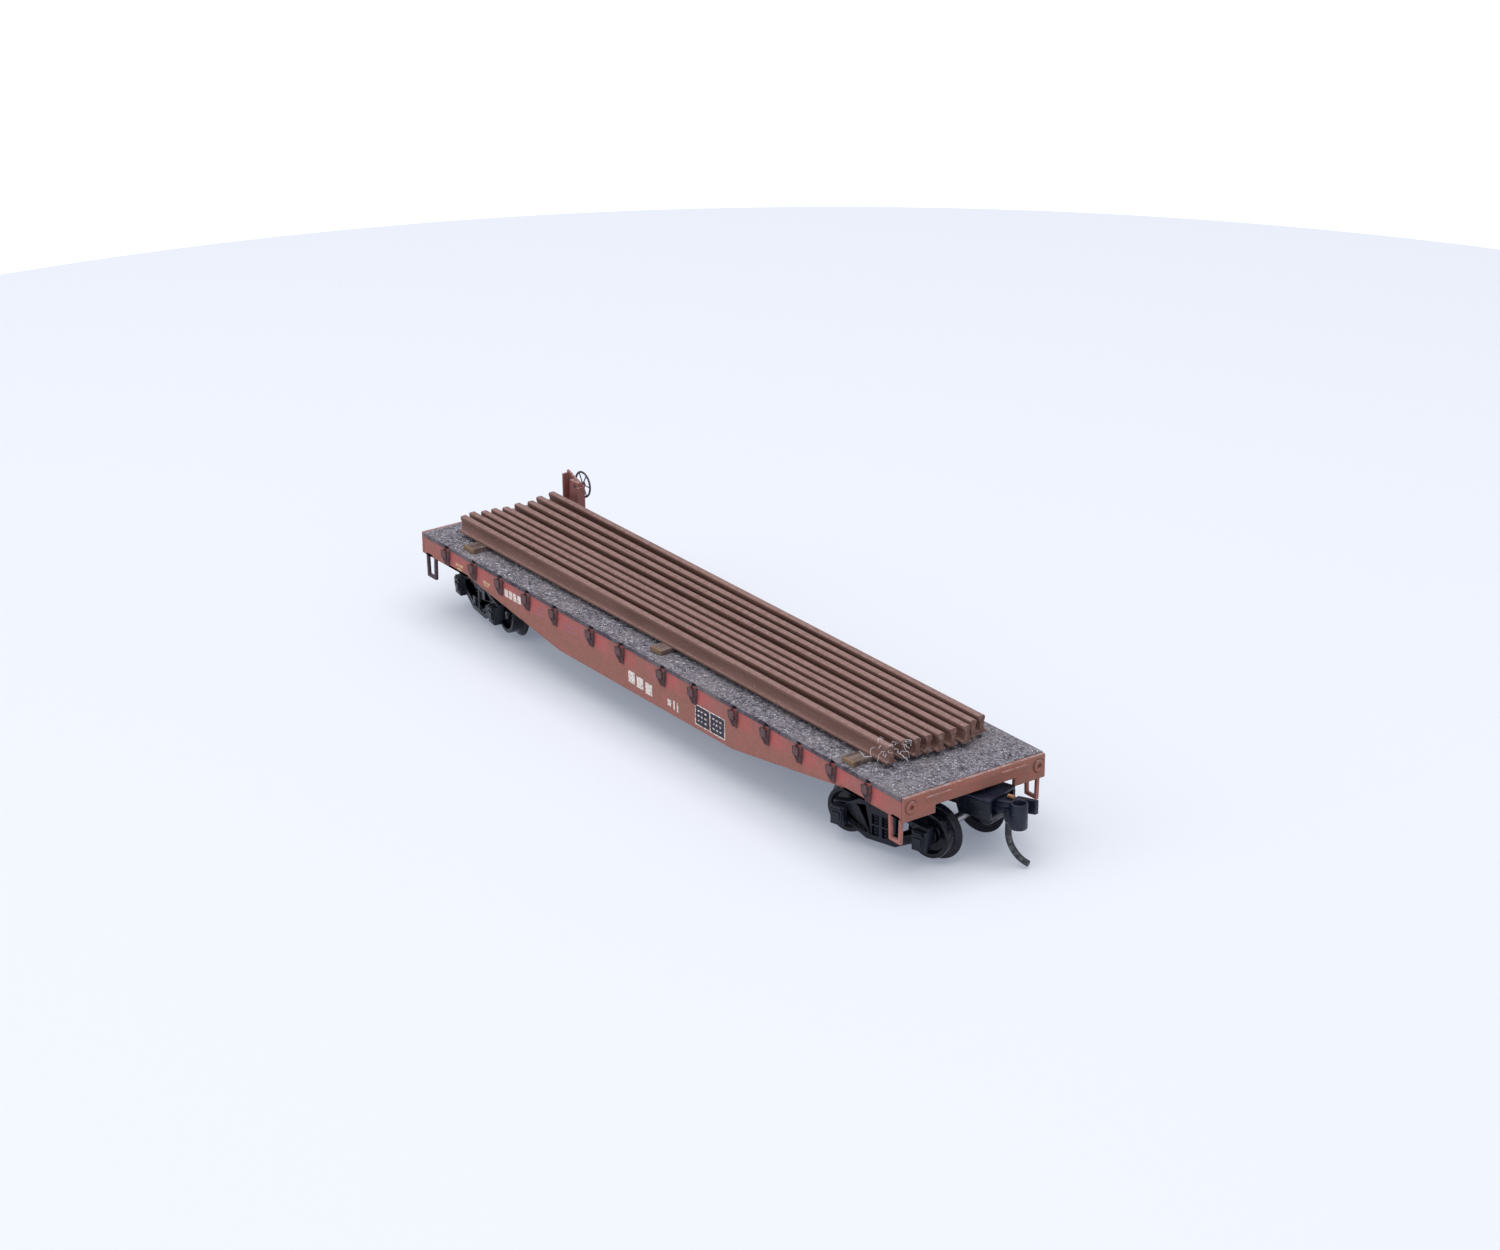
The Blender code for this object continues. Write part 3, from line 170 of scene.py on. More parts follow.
# %% Material kit
class Finish:
    """A Principled material under construction."""

    def __init__(self, name, roughness=0.7, metallic=0.0, coat=0.0, specular=0.5):
        self.material = bpy.data.materials.new(name)
        self.material.use_nodes = True
        self.tree = self.material.node_tree
        self.shader = self.tree.nodes["Principled BSDF"]
        self.shader.inputs["Roughness"].default_value = roughness
        self.shader.inputs["Metallic"].default_value = metallic
        self.shader.inputs["Coat Weight"].default_value = coat
        self.shader.inputs["Coat Roughness"].default_value = 0.35
        self.shader.inputs["Specular IOR Level"].default_value = specular
        self.place = self.add("ShaderNodeTexCoord").outputs["Object"]

    def add(self, kind, **values):
        node = self.tree.nodes.new(kind)
        for key, value in values.items():
            setattr(node, key, value)
        return node

    def join(self, start, end):
        self.tree.links.new(start, end)

    def mapped(self, scale):
        node = self.add("ShaderNodeMapping")
        node.inputs["Scale"].default_value = scale
        self.join(self.place, node.inputs["Vector"])
        return node.outputs["Vector"]

    def noise(self, scale, detail=4.0, stretch=(1, 1, 1), rough=0.55):
        node = self.add("ShaderNodeTexNoise")
        node.inputs["Scale"].default_value = scale
        node.inputs["Detail"].default_value = detail
        node.inputs["Roughness"].default_value = rough
        self.join(self.mapped(stretch), node.inputs["Vector"])
        return node.outputs["Fac"]

    def cells(self, scale, feature="F1"):
        node = self.add("ShaderNodeTexVoronoi", feature=feature)
        node.inputs["Scale"].default_value = scale
        self.join(self.mapped((1, 1, 1)), node.inputs["Vector"])
        return node.outputs["Distance"]

    def fade(self, value, low, high, start=0.0, end=1.0):
        """Start below low, end above high, and an even ramp between."""
        node = self.add("ShaderNodeMapRange", interpolation_type="SMOOTHSTEP")
        self.join(value, node.inputs["Value"])
        for label, number in (("From Min", low), ("From Max", high), ("To Min", start), ("To Max", end)):
            node.inputs[label].default_value = number
        return node.outputs["Result"]

    def part_of(self, vector, axis):
        node = self.add("ShaderNodeSeparateXYZ")
        self.join(vector, node.inputs["Vector"])
        return node.outputs[axis]

    def height(self, low, high):
        return self.fade(self.part_of(self.place, "Z"), low, high)

    def along(self, low, high):
        return self.fade(self.part_of(self.place, "X"), low, high)

    def facing_up(self, low=0.5, high=0.95):
        normal = self.add("ShaderNodeNewGeometry").outputs["Normal"]
        return self.fade(self.part_of(normal, "Z"), low, high)

    def mark(self, name):
        node = self.add("ShaderNodeAttribute", attribute_name=name, attribute_type="GEOMETRY")
        return node.outputs["Fac"]

    def times(self, first, second):
        """One pattern held back by another, or by a number."""
        node = self.add("ShaderNodeMath", operation="MULTIPLY")
        self.join(first, node.inputs[0])
        if isinstance(second, (int, float)):
            node.inputs[1].default_value = second
        else:
            self.join(second, node.inputs[1])
        return node.outputs["Value"]

    def mix(self, share, first, second):
        """Colour first where share is 0, colour second where it is 1. A colour is a triple or a socket."""
        node = self.add("ShaderNodeMix", data_type="RGBA")
        self.join(share, node.inputs["Factor"])
        for colour, socket in ((first, node.inputs[6]), (second, node.inputs[7])):
            if isinstance(colour, tuple):
                socket.default_value = (*colour, 1)
            else:
                self.join(colour, socket)
        return node.outputs[2]

    def colour(self, socket):
        self.join(socket, self.shader.inputs["Base Color"])
        return self

    def roughness(self, socket):
        self.join(socket, self.shader.inputs["Roughness"])
        return self

    def bump(self, height, distance, strength=1.0):
        node = self.add("ShaderNodeBump")
        node.inputs["Distance"].default_value = distance
        node.inputs["Strength"].default_value = strength
        self.join(height, node.inputs["Height"])
        self.join(node.outputs["Normal"], self.shader.inputs["Normal"])
        return self


print("material kit ready")

# %% [markdown]
# ## The finishes
#
# The body is moulded in oxide red and weathered: brown dirt gathers low on the sides, the paint beside the
# stake pockets has stayed bright, and dust lies on what faces up. The lower part of each stake pocket and the
# rear steps are painted darker as painted shade. The deck is coated with grey grit. The trucks, wheels and
# couplers are blue-black engineering plastic that is a little shiny.

# %% Oxide red paint
FRESH_RED = (0.50, 0.105, 0.10)
OXIDE_RED = (0.37, 0.125, 0.115)
LOW_BROWN = (0.30, 0.125, 0.095)
# The dark colour laid on the lower part of each stake pocket is painted shade.
POCKET_SHADE_DARK = (0.075, 0.06, 0.07)
DUST = (0.42, 0.36, 0.37)
GRIME = (0.085, 0.055, 0.062)
GRIME_STARTS, GRIME_FULL = 8.6 * MM, 7.0 * MM


def weathered_paint(name, base, low, fresh, dust_share=0.5):
    paint = Finish(name, roughness=0.8, specular=0.3)
    cloud = paint.fade(paint.noise(420, 5), 0.35, 0.7)
    body = paint.mix(cloud, base, low)
    grime = paint.times(paint.height(GRIME_STARTS, GRIME_FULL), paint.fade(paint.noise(900, 5), 0.25, 0.6))
    body = paint.mix(grime, body, low)
    bright = paint.times(paint.mark("fresh"), paint.fade(paint.noise(1500, 4), 0.2, 0.55))
    body = paint.mix(bright, body, fresh)
    speck = paint.times(paint.fade(paint.noise(5200, 3), 0.6, 0.74), 0.55)
    body = paint.mix(speck, body, DUST)
    dust = paint.times(paint.facing_up(), paint.fade(paint.noise(2600, 4), 0.35, 0.65, 0, dust_share))
    body = paint.mix(dust, body, DUST)
    dirt = paint.times(paint.mark("dusty"), paint.fade(paint.noise(3100, 4), 0.15, 0.6, 0.45, 1.0))
    body = paint.mix(dirt, body, GRIME)
    # Painted shade: where the mark on a stake pocket's lower part is set, the paint is darkened.
    soot = paint.times(paint.mark("soot"), paint.fade(paint.noise(2300, 4), 0.2, 0.6, 0.6, 1.0))
    body = paint.mix(soot, body, POCKET_SHADE_DARK)
    paint.colour(body)
    paint.roughness(paint.fade(paint.noise(1800, 4), 0.3, 0.7, 0.68, 0.9))
    paint.bump(paint.noise(4200, 5), 0.03 * MM, 0.6)
    return paint.material


body_paint = weathered_paint("oxide_red_paint", OXIDE_RED, LOW_BROWN, FRESH_RED)
end_paint = weathered_paint(
    "end_paint", base=(0.33, 0.118, 0.085), low=(0.27, 0.125, 0.098), fresh=(0.42, 0.12, 0.085),
    dust_share=0.7)
stand_paint = weathered_paint(
    "stand_paint", base=(0.30, 0.10, 0.09), low=(0.24, 0.10, 0.085), fresh=FRESH_RED, dust_share=0.7)
step_paint = weathered_paint(
    "step_paint", base=(0.48, 0.17, 0.13), low=(0.34, 0.14, 0.12), fresh=(0.58, 0.15, 0.12), dust_share=0.3)
# The rear steps take a much darker copy of the step paint, as painted shade.
dark_step_paint = weathered_paint(
    "dark_step_paint", base=(0.11, 0.06, 0.075), low=(0.085, 0.055, 0.07), fresh=(0.2, 0.08, 0.08),
    dust_share=0.3)
STEP_PAINT_AND_SHADE = {"front": step_paint, "rear": dark_step_paint}
print("paints:", body_paint.name, end_paint.name, stand_paint.name, step_paint.name)

# %% Deck grit
def deck_finish(name, dark, light, speckle):
    grit = Finish(name, roughness=0.95, specular=0.2)
    grain = grit.fade(grit.noise(2500, 7, rough=0.75), 0.40, 0.60)
    body = grit.mix(grain, dark, light)
    patch = grit.fade(grit.noise(260, 3), 0.35, 0.7, 0, 0.45)
    body = grit.mix(patch, body, (0.27, 0.24, 0.25))
    body = grit.mix(grit.fade(grit.noise(7000, 2), 0.64, 0.72, 0, speckle), body, (0.70, 0.68, 0.72))
    grit.colour(body)
    grit.bump(grit.noise(5200, 6, rough=0.7), 0.12 * MM, 1.0)
    return grit.material


deck_grit = deck_finish("sanded_deck", (0.060, 0.054, 0.066), (0.31, 0.285, 0.33), 1.0)
deck_edge = deck_finish("sanded_deck_edge", (0.045, 0.036, 0.048), (0.12, 0.10, 0.125), 0.25)
pale = Finish("pale_flecks", roughness=0.85)
fleck_white = pale.colour(pale.mix(pale.noise(900, 2), (0.62, 0.61, 0.66), (0.93, 0.93, 0.97))).material
print("deck:", deck_grit.name, deck_edge.name)

# %% Blue-black plastic
def moulded_plastic(name, dark, light, roughness, dust, relief=0.7):
    plastic = Finish(name, roughness=roughness, specular=0.3)
    body = plastic.mix(plastic.fade(plastic.noise(700, 4), 0.35, 0.7), dark, light)
    film = plastic.times(plastic.facing_up(0.3, 1.0), plastic.fade(plastic.noise(3000, 4), 0.4, 0.7, 0, dust))
    body = plastic.mix(film, body, (0.07, 0.075, 0.105))
    body = plastic.mix(plastic.fade(plastic.noise(6500, 2), 0.70, 0.76, 0, 0.4), body, (0.30, 0.31, 0.38))
    plastic.colour(body)
    plastic.roughness(plastic.fade(plastic.noise(1400, 4), 0.3, 0.7, roughness - 0.1, roughness + 0.12))
    plastic.bump(plastic.noise(2600, 5), 0.02 * MM, relief)
    return plastic.material


truck_plastic = moulded_plastic(
    "truck_moulding", dark=(0.005, 0.006, 0.013), light=(0.011, 0.013, 0.026), roughness=0.34, dust=0.25)
wheel_plastic = moulded_plastic(
    "wheel_moulding", dark=(0.004, 0.0045, 0.009), light=(0.007, 0.008, 0.015), roughness=0.2, dust=0.03,
    relief=0.12)
coupler_plastic = moulded_plastic(
    "coupler_moulding", dark=(0.009, 0.011, 0.024), light=(0.018, 0.022, 0.043), roughness=0.32, dust=0.2)
brake_wheel_grey = moulded_plastic(
    "brake_wheel_moulding", dark=(0.055, 0.045, 0.060), light=(0.10, 0.085, 0.11), roughness=0.55, dust=0.3)
print("plastics:", truck_plastic.name, wheel_plastic.name, coupler_plastic.name)

# %% Rail, wood and metal
DUSTY_END_STARTS, DUSTY_END_FULL = 39.5 * MM, 42.2 * MM


def rail_finish():
    rail = Finish("rusty_rail", roughness=0.75, specular=0.35)
    streak = rail.fade(rail.noise(500, 5, stretch=(0.12, 1, 1)), 0.3, 0.7)
    body = rail.mix(streak, (0.150, 0.072, 0.056), (0.225, 0.118, 0.094))
    # Patches on the up-facing faces are lighter: a painted highlight on the railheads.
    lit_top = rail.times(rail.facing_up(0.6, 0.98), rail.fade(rail.noise(1500, 5), 0.25, 0.7, 0.25, 0.8))
    body = rail.mix(lit_top, body, (0.33, 0.205, 0.19))
    body = rail.mix(rail.fade(rail.noise(4800, 3), 0.66, 0.73, 0, 0.7), body, (0.55, 0.48, 0.47))
    end_dust = rail.times(rail.along(DUSTY_END_STARTS, DUSTY_END_FULL),
                          rail.fade(rail.noise(2400, 4), 0.5, 0.66, 0, 0.35))
    body = rail.mix(end_dust, body, (0.45, 0.37, 0.36))
    rail.colour(body)
    rail.bump(rail.noise(2600, 5, stretch=(0.35, 1, 1)), 0.035 * MM, 0.8)
    return rail.material


def wood_finish():
    wood = Finish("weathered_wood", roughness=0.88, specular=0.2)
    grain = wood.fade(wood.noise(1700, 6, stretch=(1, 0.08, 1), rough=0.65), 0.3, 0.7)
    body = wood.mix(grain, (0.085, 0.06, 0.052), (0.225, 0.165, 0.15))
    body = wood.mix(wood.fade(wood.noise(3600, 3), 0.6, 0.72, 0, 0.7), body, (0.44, 0.40, 0.36))
    cut = wood.times(wood.mark("cut_end"), wood.fade(wood.noise(2500, 3), 0.3, 0.6, 0.3, 1.0))
    body = wood.mix(cut, body, (0.26, 0.165, 0.095))
    wood.colour(body)
    wood.bump(grain, 0.06 * MM, 0.8)
    return wood.material


def metal_finish(name, dark, light, roughness):
    metal = Finish(name, roughness=roughness, metallic=1.0)
    metal.colour(metal.mix(metal.noise(2400, 4), dark, light))
    metal.roughness(metal.fade(metal.noise(3000, 3), 0.3, 0.7, roughness - 0.08, roughness + 0.12))
    metal.bump(metal.noise(5200, 3), 0.01 * MM, 0.5)
    return metal.material


def blackened_pin():
    pin = Finish("trip_pin_grey", roughness=0.5, metallic=0.55)
    wear = pin.fade(pin.noise(1800, 5), 0.42, 0.68)
    pin.colour(pin.mix(wear, (0.035, 0.038, 0.045), (0.15, 0.15, 0.155)))
    pin.roughness(pin.fade(pin.noise(2200, 4), 0.3, 0.7, 0.38, 0.62))
    pin.bump(pin.noise(3600, 5), 0.02 * MM, 0.8)
    return pin.material


rail_brown = rail_finish()
dunnage_wood = wood_finish()
bare_steel = metal_finish("bare_steel", (0.36, 0.36, 0.38), (0.55, 0.55, 0.57), 0.35)
spring_bronze = metal_finish("bronze_wire", (0.50, 0.24, 0.12), (0.72, 0.40, 0.22), 0.32)
trip_pin_grey = blackened_pin()
print("rail, wood and metals ready")

# %% [markdown]
# ## Rounding what the CAD model draws sharp
#
# A moulding never has a knife edge. Each CAD node whose shape is right is copied, its loose triangles are
# joined into whole faces, and a Bevel rounds its corners. The copy is shown in the node's place. Bevel with
# hardened normals keeps the flats flat, so light catches only the rounded corners.

# %% Rounded copies
def joined_copy(node):
    """The node's shape with its triangles joined into flat faces."""
    bm = bmesh.new()
    bm.from_mesh(frame["nodes"][node].data)
    bmesh.ops.remove_doubles(bm, verts=bm.verts, dist=1e-7)
    bmesh.ops.dissolve_limit(bm, angle_limit=0.005, verts=bm.verts, edges=bm.edges)
    return bm


def body_of(node):
    for body, members in frame["record"]["behaviour"]["bodies"].items():
        if node in members:
            return body
    raise KeyError(node)


def in_scene(name, data):
    thing = bpy.data.objects.new(name, data)
    bpy.context.scene.collection.objects.link(thing)
    return thing


def add_detail(name, mesh, body, material):
    """A detail that has no CAD node of its own and rides on a body."""
    piece = in_scene(name, mesh)
    mesh.materials.clear()
    mesh.materials.append(material)
    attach(piece, body)
    return piece


def show(name, mesh, node, material):
    """Shows mesh as a piece in place of the node, on the node's own body."""
    piece = add_detail(name, mesh, body_of(node), material)
    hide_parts(node)
    return piece


def round_edges(piece, width, angle=32, clamp=False):
    for face in piece.data.polygons:
        face.use_smooth = True
    bevel = piece.modifiers.new("rounded_edges", "BEVEL")
    bevel.width = width
    bevel.segments = 2
    bevel.limit_method = "ANGLE"
    bevel.angle_limit = math.radians(angle)
    bevel.use_clamp_overlap = clamp
    bevel.harden_normals = True
    bevel.miter_outer = "MITER_ARC"


def mesh_from(name, bm):
    mesh = bpy.data.meshes.new(name)
    bm.to_mesh(mesh)
    bm.free()
    return mesh


CROWDED = ("brake_stand", "underframe", "coupler_jaw_front", "coupler_jaw_rear")


def rounded(node, material, width):
    """On a crowded node a full bevel would fold over its neighbour, so there it is held back."""
    piece = show(node + "_moulded", mesh_from(node + "_moulded", joined_copy(node)), node, material)
    round_edges(piece, width * MM, clamp=node in CROWDED)


# Each node with its finish and the width of its rounded edge, in millimetres.
for node, material, width in (
        ("end_sill_front", end_paint, 0.06), ("end_sill_rear", end_paint, 0.06),
        ("brake_stand", stand_paint, 0.04), ("underframe", truck_plastic, 0.05),
        ("ballast_weight", bare_steel, 0.08), ("deck", deck_edge, 0.04)):
    rounded(node, material, width)
for end in ENDS:
    for node, material, width in (
            (f"step_{end}_left", STEP_PAINT_AND_SHADE[end], 0.07), (f"step_{end}_right", STEP_PAINT_AND_SHADE[end], 0.07),
            (f"truck_frame_{end}", truck_plastic, 0.035), (f"coupler_lid_{end}", coupler_plastic, 0.08),
            (f"bolster_pin_{end}", truck_plastic, 0.08), (f"coupler_jaw_{end}", coupler_plastic, 0.06),
            (f"coupler_knuckle_{end}", coupler_plastic, 0.08)):
        rounded(node, material, width)

# %% [markdown]
# ## A small kit for Geometry Nodes
#
# Pockets, springs, bolts, spokes and grit all repeat, and a rail is one outline carried along a line.
# Geometry Nodes suit both. A Recipe holds one tree with named inputs. Its make function gives the tree a base
# mesh and numbers, lets Blender evaluate it once, and returns a plain mesh, so nothing stays live on a piece.

# %% Geometry Nodes kit
class Recipe:
    """A Geometry Nodes tree under construction, with named inputs and one finish."""

    def __init__(self, name, **inputs):
        self.tree = bpy.data.node_groups.new(name, "GeometryNodeTree")
        self.names = {}
        self.socket("Base", "INPUT", "NodeSocketGeometry")
        for label, value in inputs.items():
            kinds = {int: "NodeSocketInt", float: "NodeSocketFloat", tuple: "NodeSocketVector",
                     type(None): "NodeSocketObject"}
            made = self.socket(label, "INPUT", kinds[type(value)])
            if value is not None:
                made.default_value = value
        self.socket("Finish", "INPUT", "NodeSocketMaterial")
        self.socket("Result", "OUTPUT", "NodeSocketGeometry")
        self.given = self.tree.nodes.new("NodeGroupInput").outputs
        self.result = self.tree.nodes.new("NodeGroupOutput").inputs[0]

    def socket(self, label, side, kind):
        made = self.tree.interface.new_socket(label, in_out=side, socket_type=kind)
        self.names[label] = made.identifier
        return made

    def add(self, kind, settings=None, **links):
        """Adds a node. Each link names an input, with _ for a space, and gives it a number or a socket."""
        node = self.tree.nodes.new(kind)
        for key, value in (settings or {}).items():
            setattr(node, key, value)
        for label, value in links.items():
            wanted = label.replace("_", " ")
            open_sockets = [socket for socket in node.inputs if socket.name == wanted and socket.enabled]
            if isinstance(value, bpy.types.NodeSocket):
                self.tree.links.new(value, open_sockets[0])
            else:
                open_sockets[0].default_value = value
        return next(socket for socket in node.outputs if socket.enabled)

    def finish(self, shape):
        """Ends the tree: realised instances with the finish on them."""
        solid = self.add("GeometryNodeRealizeInstances", Geometry=shape)
        dressed = self.add("GeometryNodeSetMaterial", Geometry=solid, Material=self.given["Finish"])
        self.tree.links.new(dressed, self.result)
        return self

    def make(self, name, base, material, **values):
        """Runs the tree on a base mesh and returns the result as a plain mesh."""
        draft = in_scene(name, base)
        run = draft.modifiers.new(name, "NODES")
        run.node_group = self.tree
        run[self.names["Finish"]] = material
        for label, value in values.items():
            run[self.names[label]] = value
        graph = bpy.context.evaluated_depsgraph_get()
        mesh = bpy.data.meshes.new_from_object(draft.evaluated_get(graph))
        mesh.name = name
        bpy.data.objects.remove(draft)
        return mesh

    def make_from(self, shape_mesh, name, base, material, **values):
        """Runs a tree that repeats one shape, which is shown to it on a passing object."""
        pattern = in_scene(name + "_pattern", shape_mesh)
        mesh = self.make(name, base, material, Shape=pattern, **values)
        bpy.data.objects.remove(pattern)
        return mesh


def points_mesh(name, places):
    mesh = bpy.data.meshes.new(name)
    mesh.from_pydata([tuple(place) for place in places], [], [])
    return mesh


def smooth(mesh, angle=35):
    mesh.shade_smooth()
    mesh.set_sharp_from_angle(angle=math.radians(angle))
    return mesh


print("geometry kit ready")

# %% [markdown]
# ## Side sills and stake pockets
#
# Each side is one deep fishbelly plate with fourteen stake pockets. A pocket is a short square tube at the
# top and three ribs that close in below it. One pocket is modelled, and a recipe puts a copy at each of the
# fourteen places. The plate is cut into small faces, so that two marks can be painted on its corners: fresh,
# where the red has kept its colour beside a pocket, and dusty, where grime has settled. A third mark darkens
# the lower part of each pocket, its legs and its rib, as painted shade.

# %% Pocket places and sizes
POCKET_HALF = 0.62 * MM
POCKET_FOOT_HALF = 0.36 * MM
POCKET_TUBE = 0.95 * MM
POCKET_TALL = 2.05 * MM
POCKET_WALL = 0.19 * MM
POCKET_PROUD = 0.64 * MM
POCKET_SPACING = (4.2, 10.4, 18.2, 24.2, 30.2, 36.2, 42.4)
pocket_x = [side * x * MM for x in POCKET_SPACING for side in (-1, 1)]
side_low, side_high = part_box("side_sill_right")
sill_top = side_high.z
sill_face = abs(side_low.y) - 0.65 * MM
print("sill face", round(sill_face / MM, 2), "mm from the middle, top at", round(sill_top / MM, 2))


# %% One pocket
def slice_through(bm, place, direction):
    geometry = bm.verts[:] + bm.edges[:] + bm.faces[:]
    bmesh.ops.bisect_plane(bm, geom=geometry, plane_co=place, plane_no=direction)


def tapered_block(bm, top, bottom):
    """A block from a top rectangle to a bottom one. Each is (low x, high x, low y, high y, z)."""
    corners = bmesh.ops.create_cube(bm, size=1.0)["verts"]
    for corner in corners:
        x0, x1, y0, y1, z = top if corner.co.z > 0 else bottom
        corner.co = (x1 if corner.co.x > 0 else x0, y1 if corner.co.y > 0 else y0, z)
    return corners


def mark_points(mesh, name, values):
    mark = mesh.attributes.new(name, "FLOAT", "POINT")
    mark.data.foreach_set("value", np.array(values, np.float32))


def stake_pocket():
    """One pocket, its y pointing away from the sill and its top at z = 0."""
    bm = bmesh.new()
    half, proud, wall = POCKET_HALF, POCKET_PROUD, POCKET_WALL
    neck = half * 0.9
    for side in (-1, 1):
        low, high = sorted((side * half, side * (half - wall)))
        foot = sorted((side * neck, side * (neck - wall)))
        tapered_block(bm, (low, high, -wall, proud, 0), (*foot, -wall, proud * 0.95, -POCKET_TUBE))
        leg_top = sorted((side * neck, side * (neck - wall * 0.8)))
        leg_foot = sorted((side * POCKET_FOOT_HALF, side * (POCKET_FOOT_HALF - wall * 0.6)))
        tapered_block(bm, (*leg_top, -wall, proud * 0.93, -POCKET_TUBE * 0.9),
                      (*leg_foot, -wall, proud * 0.25, -POCKET_TALL))
    tapered_block(bm, (-half, half, proud - wall, proud, 0),
                  (-neck, neck, proud * 0.7, proud * 0.95, -POCKET_TUBE))
    tapered_block(bm, (-wall * 0.42, wall * 0.42, -wall, proud * 0.9, -POCKET_TUBE * 0.9),
                  (-wall * 0.3, wall * 0.3, -wall, proud * 0.35, -POCKET_TALL * 0.97))
    tapered_block(bm, (-neck, neck, -wall, proud * 0.8, -POCKET_TUBE * 0.7),
                  (-neck, neck, -wall, proud * 0.8, -POCKET_TUBE * 0.85))
    bmesh.ops.bevel(bm, geom=bm.edges, offset=0.025 * MM, segments=1, affect="EDGES")
    mesh = mesh_from("stake_pocket", bm)
    depth = [-corner.co.z / POCKET_TUBE for corner in mesh.vertices]
    mark_points(mesh, "dusty", [min(1.0, max(0.0, 1.25 - value * 0.9)) for value in depth])
    # The lower part of the pocket, its legs and its rib, gets the mark that darkens it as painted shade.
    mark_points(mesh, "soot", [0.85 if value > 0.6 else 0.0 for value in depth])
    return mesh


pocket_mesh = stake_pocket()
print("one pocket has", len(pocket_mesh.polygons), "faces")

# %% Pocket recipe: a copy of one shape at each point
copies = Recipe("copies_at_points", Shape=None, Turn=0.0)
shape_node = copies.tree.nodes.new("GeometryNodeObjectInfo")
copies.tree.links.new(copies.given["Shape"], shape_node.inputs["Object"])
heading = copies.add("ShaderNodeCombineXYZ", Z=copies.given["Turn"])
cloud = copies.add("GeometryNodeMeshToPoints", Mesh=copies.given["Base"])
copies.finish(copies.add("GeometryNodeInstanceOnPoints", Points=cloud,
                         Instance=shape_node.outputs["Geometry"], Rotation=heading))


def copies_of(shape_mesh, name, places, material, turn=0.0):
    return copies.make_from(shape_mesh, name, points_mesh(name, places), material, Turn=turn)


print("copies recipe has", len(copies.tree.nodes), "nodes")

# %% The fishbelly plate
SILL_HALF = 47.96 * MM
BELLY = ((37.0 * MM, 7.45 * MM), (17.5 * MM, 4.65 * MM))
PLATE_THICK = 0.6 * MM
SLICE_LONG, SLICE_TALL = 0.75 * MM, 0.55 * MM
RED_REACH = 3.4 * MM


def belly_outline():
    """The plate's outline, from the top at the front end down and along the belly to the rear end."""
    right = [(SILL_HALF, sill_top), (SILL_HALF, BELLY[0][1]), *BELLY]
    return right + [(-x, z) for x, z in reversed(right)]


def fishbelly_plate(side):
    bm = bmesh.new()
    face_y = side * sill_face
    bm.faces.new([bm.verts.new((x, face_y, z)) for x, z in belly_outline()])
    for step in range(-63, 64):
        slice_through(bm, (step * SLICE_LONG, 0, 0), (1, 0, 0))
    for step in range(1, 9):
        slice_through(bm, (0, 0, sill_top - step * SLICE_TALL), (0, 0, 1))
    moved = bmesh.ops.extrude_face_region(bm, geom=bm.faces[:])
    inner = [item for item in moved["geom"] if isinstance(item, bmesh.types.BMVert)]
    bmesh.ops.translate(bm, verts=inner, vec=(0, -side * PLATE_THICK, 0))
    bmesh.ops.recalc_face_normals(bm, faces=bm.faces)
    return mesh_from("fishbelly", bm)


def fresh_share(x, z):
    """How much bright red is left at a point: most just ahead of a pocket, near the top."""
    best = 0.0
    for place in pocket_x:
        ahead = x - place
        if abs(ahead) < 0.5 * MM:
            best = max(best, 0.9)
        elif 0 < ahead < RED_REACH:
            best = max(best, 1.0 - 0.75 * ahead / RED_REACH)
    depth = (sill_top - z) / MM
    return best * min(1.0, max(0.0, (2.4 - depth) / 1.1))


def side_piece(label, side):
    plate = fishbelly_plate(side)
    mark_points(plate, "fresh", [fresh_share(corner.co.x, corner.co.z) for corner in plate.vertices])
    turn = 0.0 if side > 0 else math.pi
    places = [(x, side * sill_face, sill_top - 0.02 * MM) for x in pocket_x]
    row = copies_of(pocket_mesh, "pockets_" + label, places, body_paint, turn)
    bm = bmesh.new()
    bm.from_mesh(plate)
    bm.from_mesh(row)
    mesh = mesh_from(f"side_{label}_plate_and_pockets", bm)
    piece = show(mesh.name, mesh, "side_sill_" + label, body_paint)
    round_edges(piece, 0.04 * MM, angle=60)
    return piece


sides = [side_piece("right", -1), side_piece("left", 1)]
print([f"{piece.name}: {len(piece.data.polygons)} faces" for piece in sides])

# %% [markdown]
# ## Deck grit
#
# The deck is coated with fine sand and has caught fibres and crumbs. A shallow noise lifts a fine grid for
# the coat, and a recipe scatters single grains over it, then pale flecks. Real loose grains give the deck a
# ragged edge against the light that a bump map can't.

# %% The rough coat
COAT_STEP, COAT_SUNK, GRAIN_RAISED = 0.32 * MM, 0.012 * MM, 0.012 * MM
deck_low, deck_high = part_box("deck")
coat = Recipe("rough_coat", Lift=0.05 * MM, Grain_Scale=3600.0)
bumps = coat.add("ShaderNodeTexNoise", Scale=coat.given["Grain_Scale"], Detail=3.0)
lift = coat.add("ShaderNodeMath", {"operation": "MULTIPLY"}, Value=bumps)
coat.tree.links.new(coat.given["Lift"], coat.tree.nodes[-1].inputs[1])
upward = coat.add("ShaderNodeCombineXYZ", Z=lift)
coat.finish(coat.add("GeometryNodeSetPosition", Geometry=coat.given["Base"], Offset=upward))


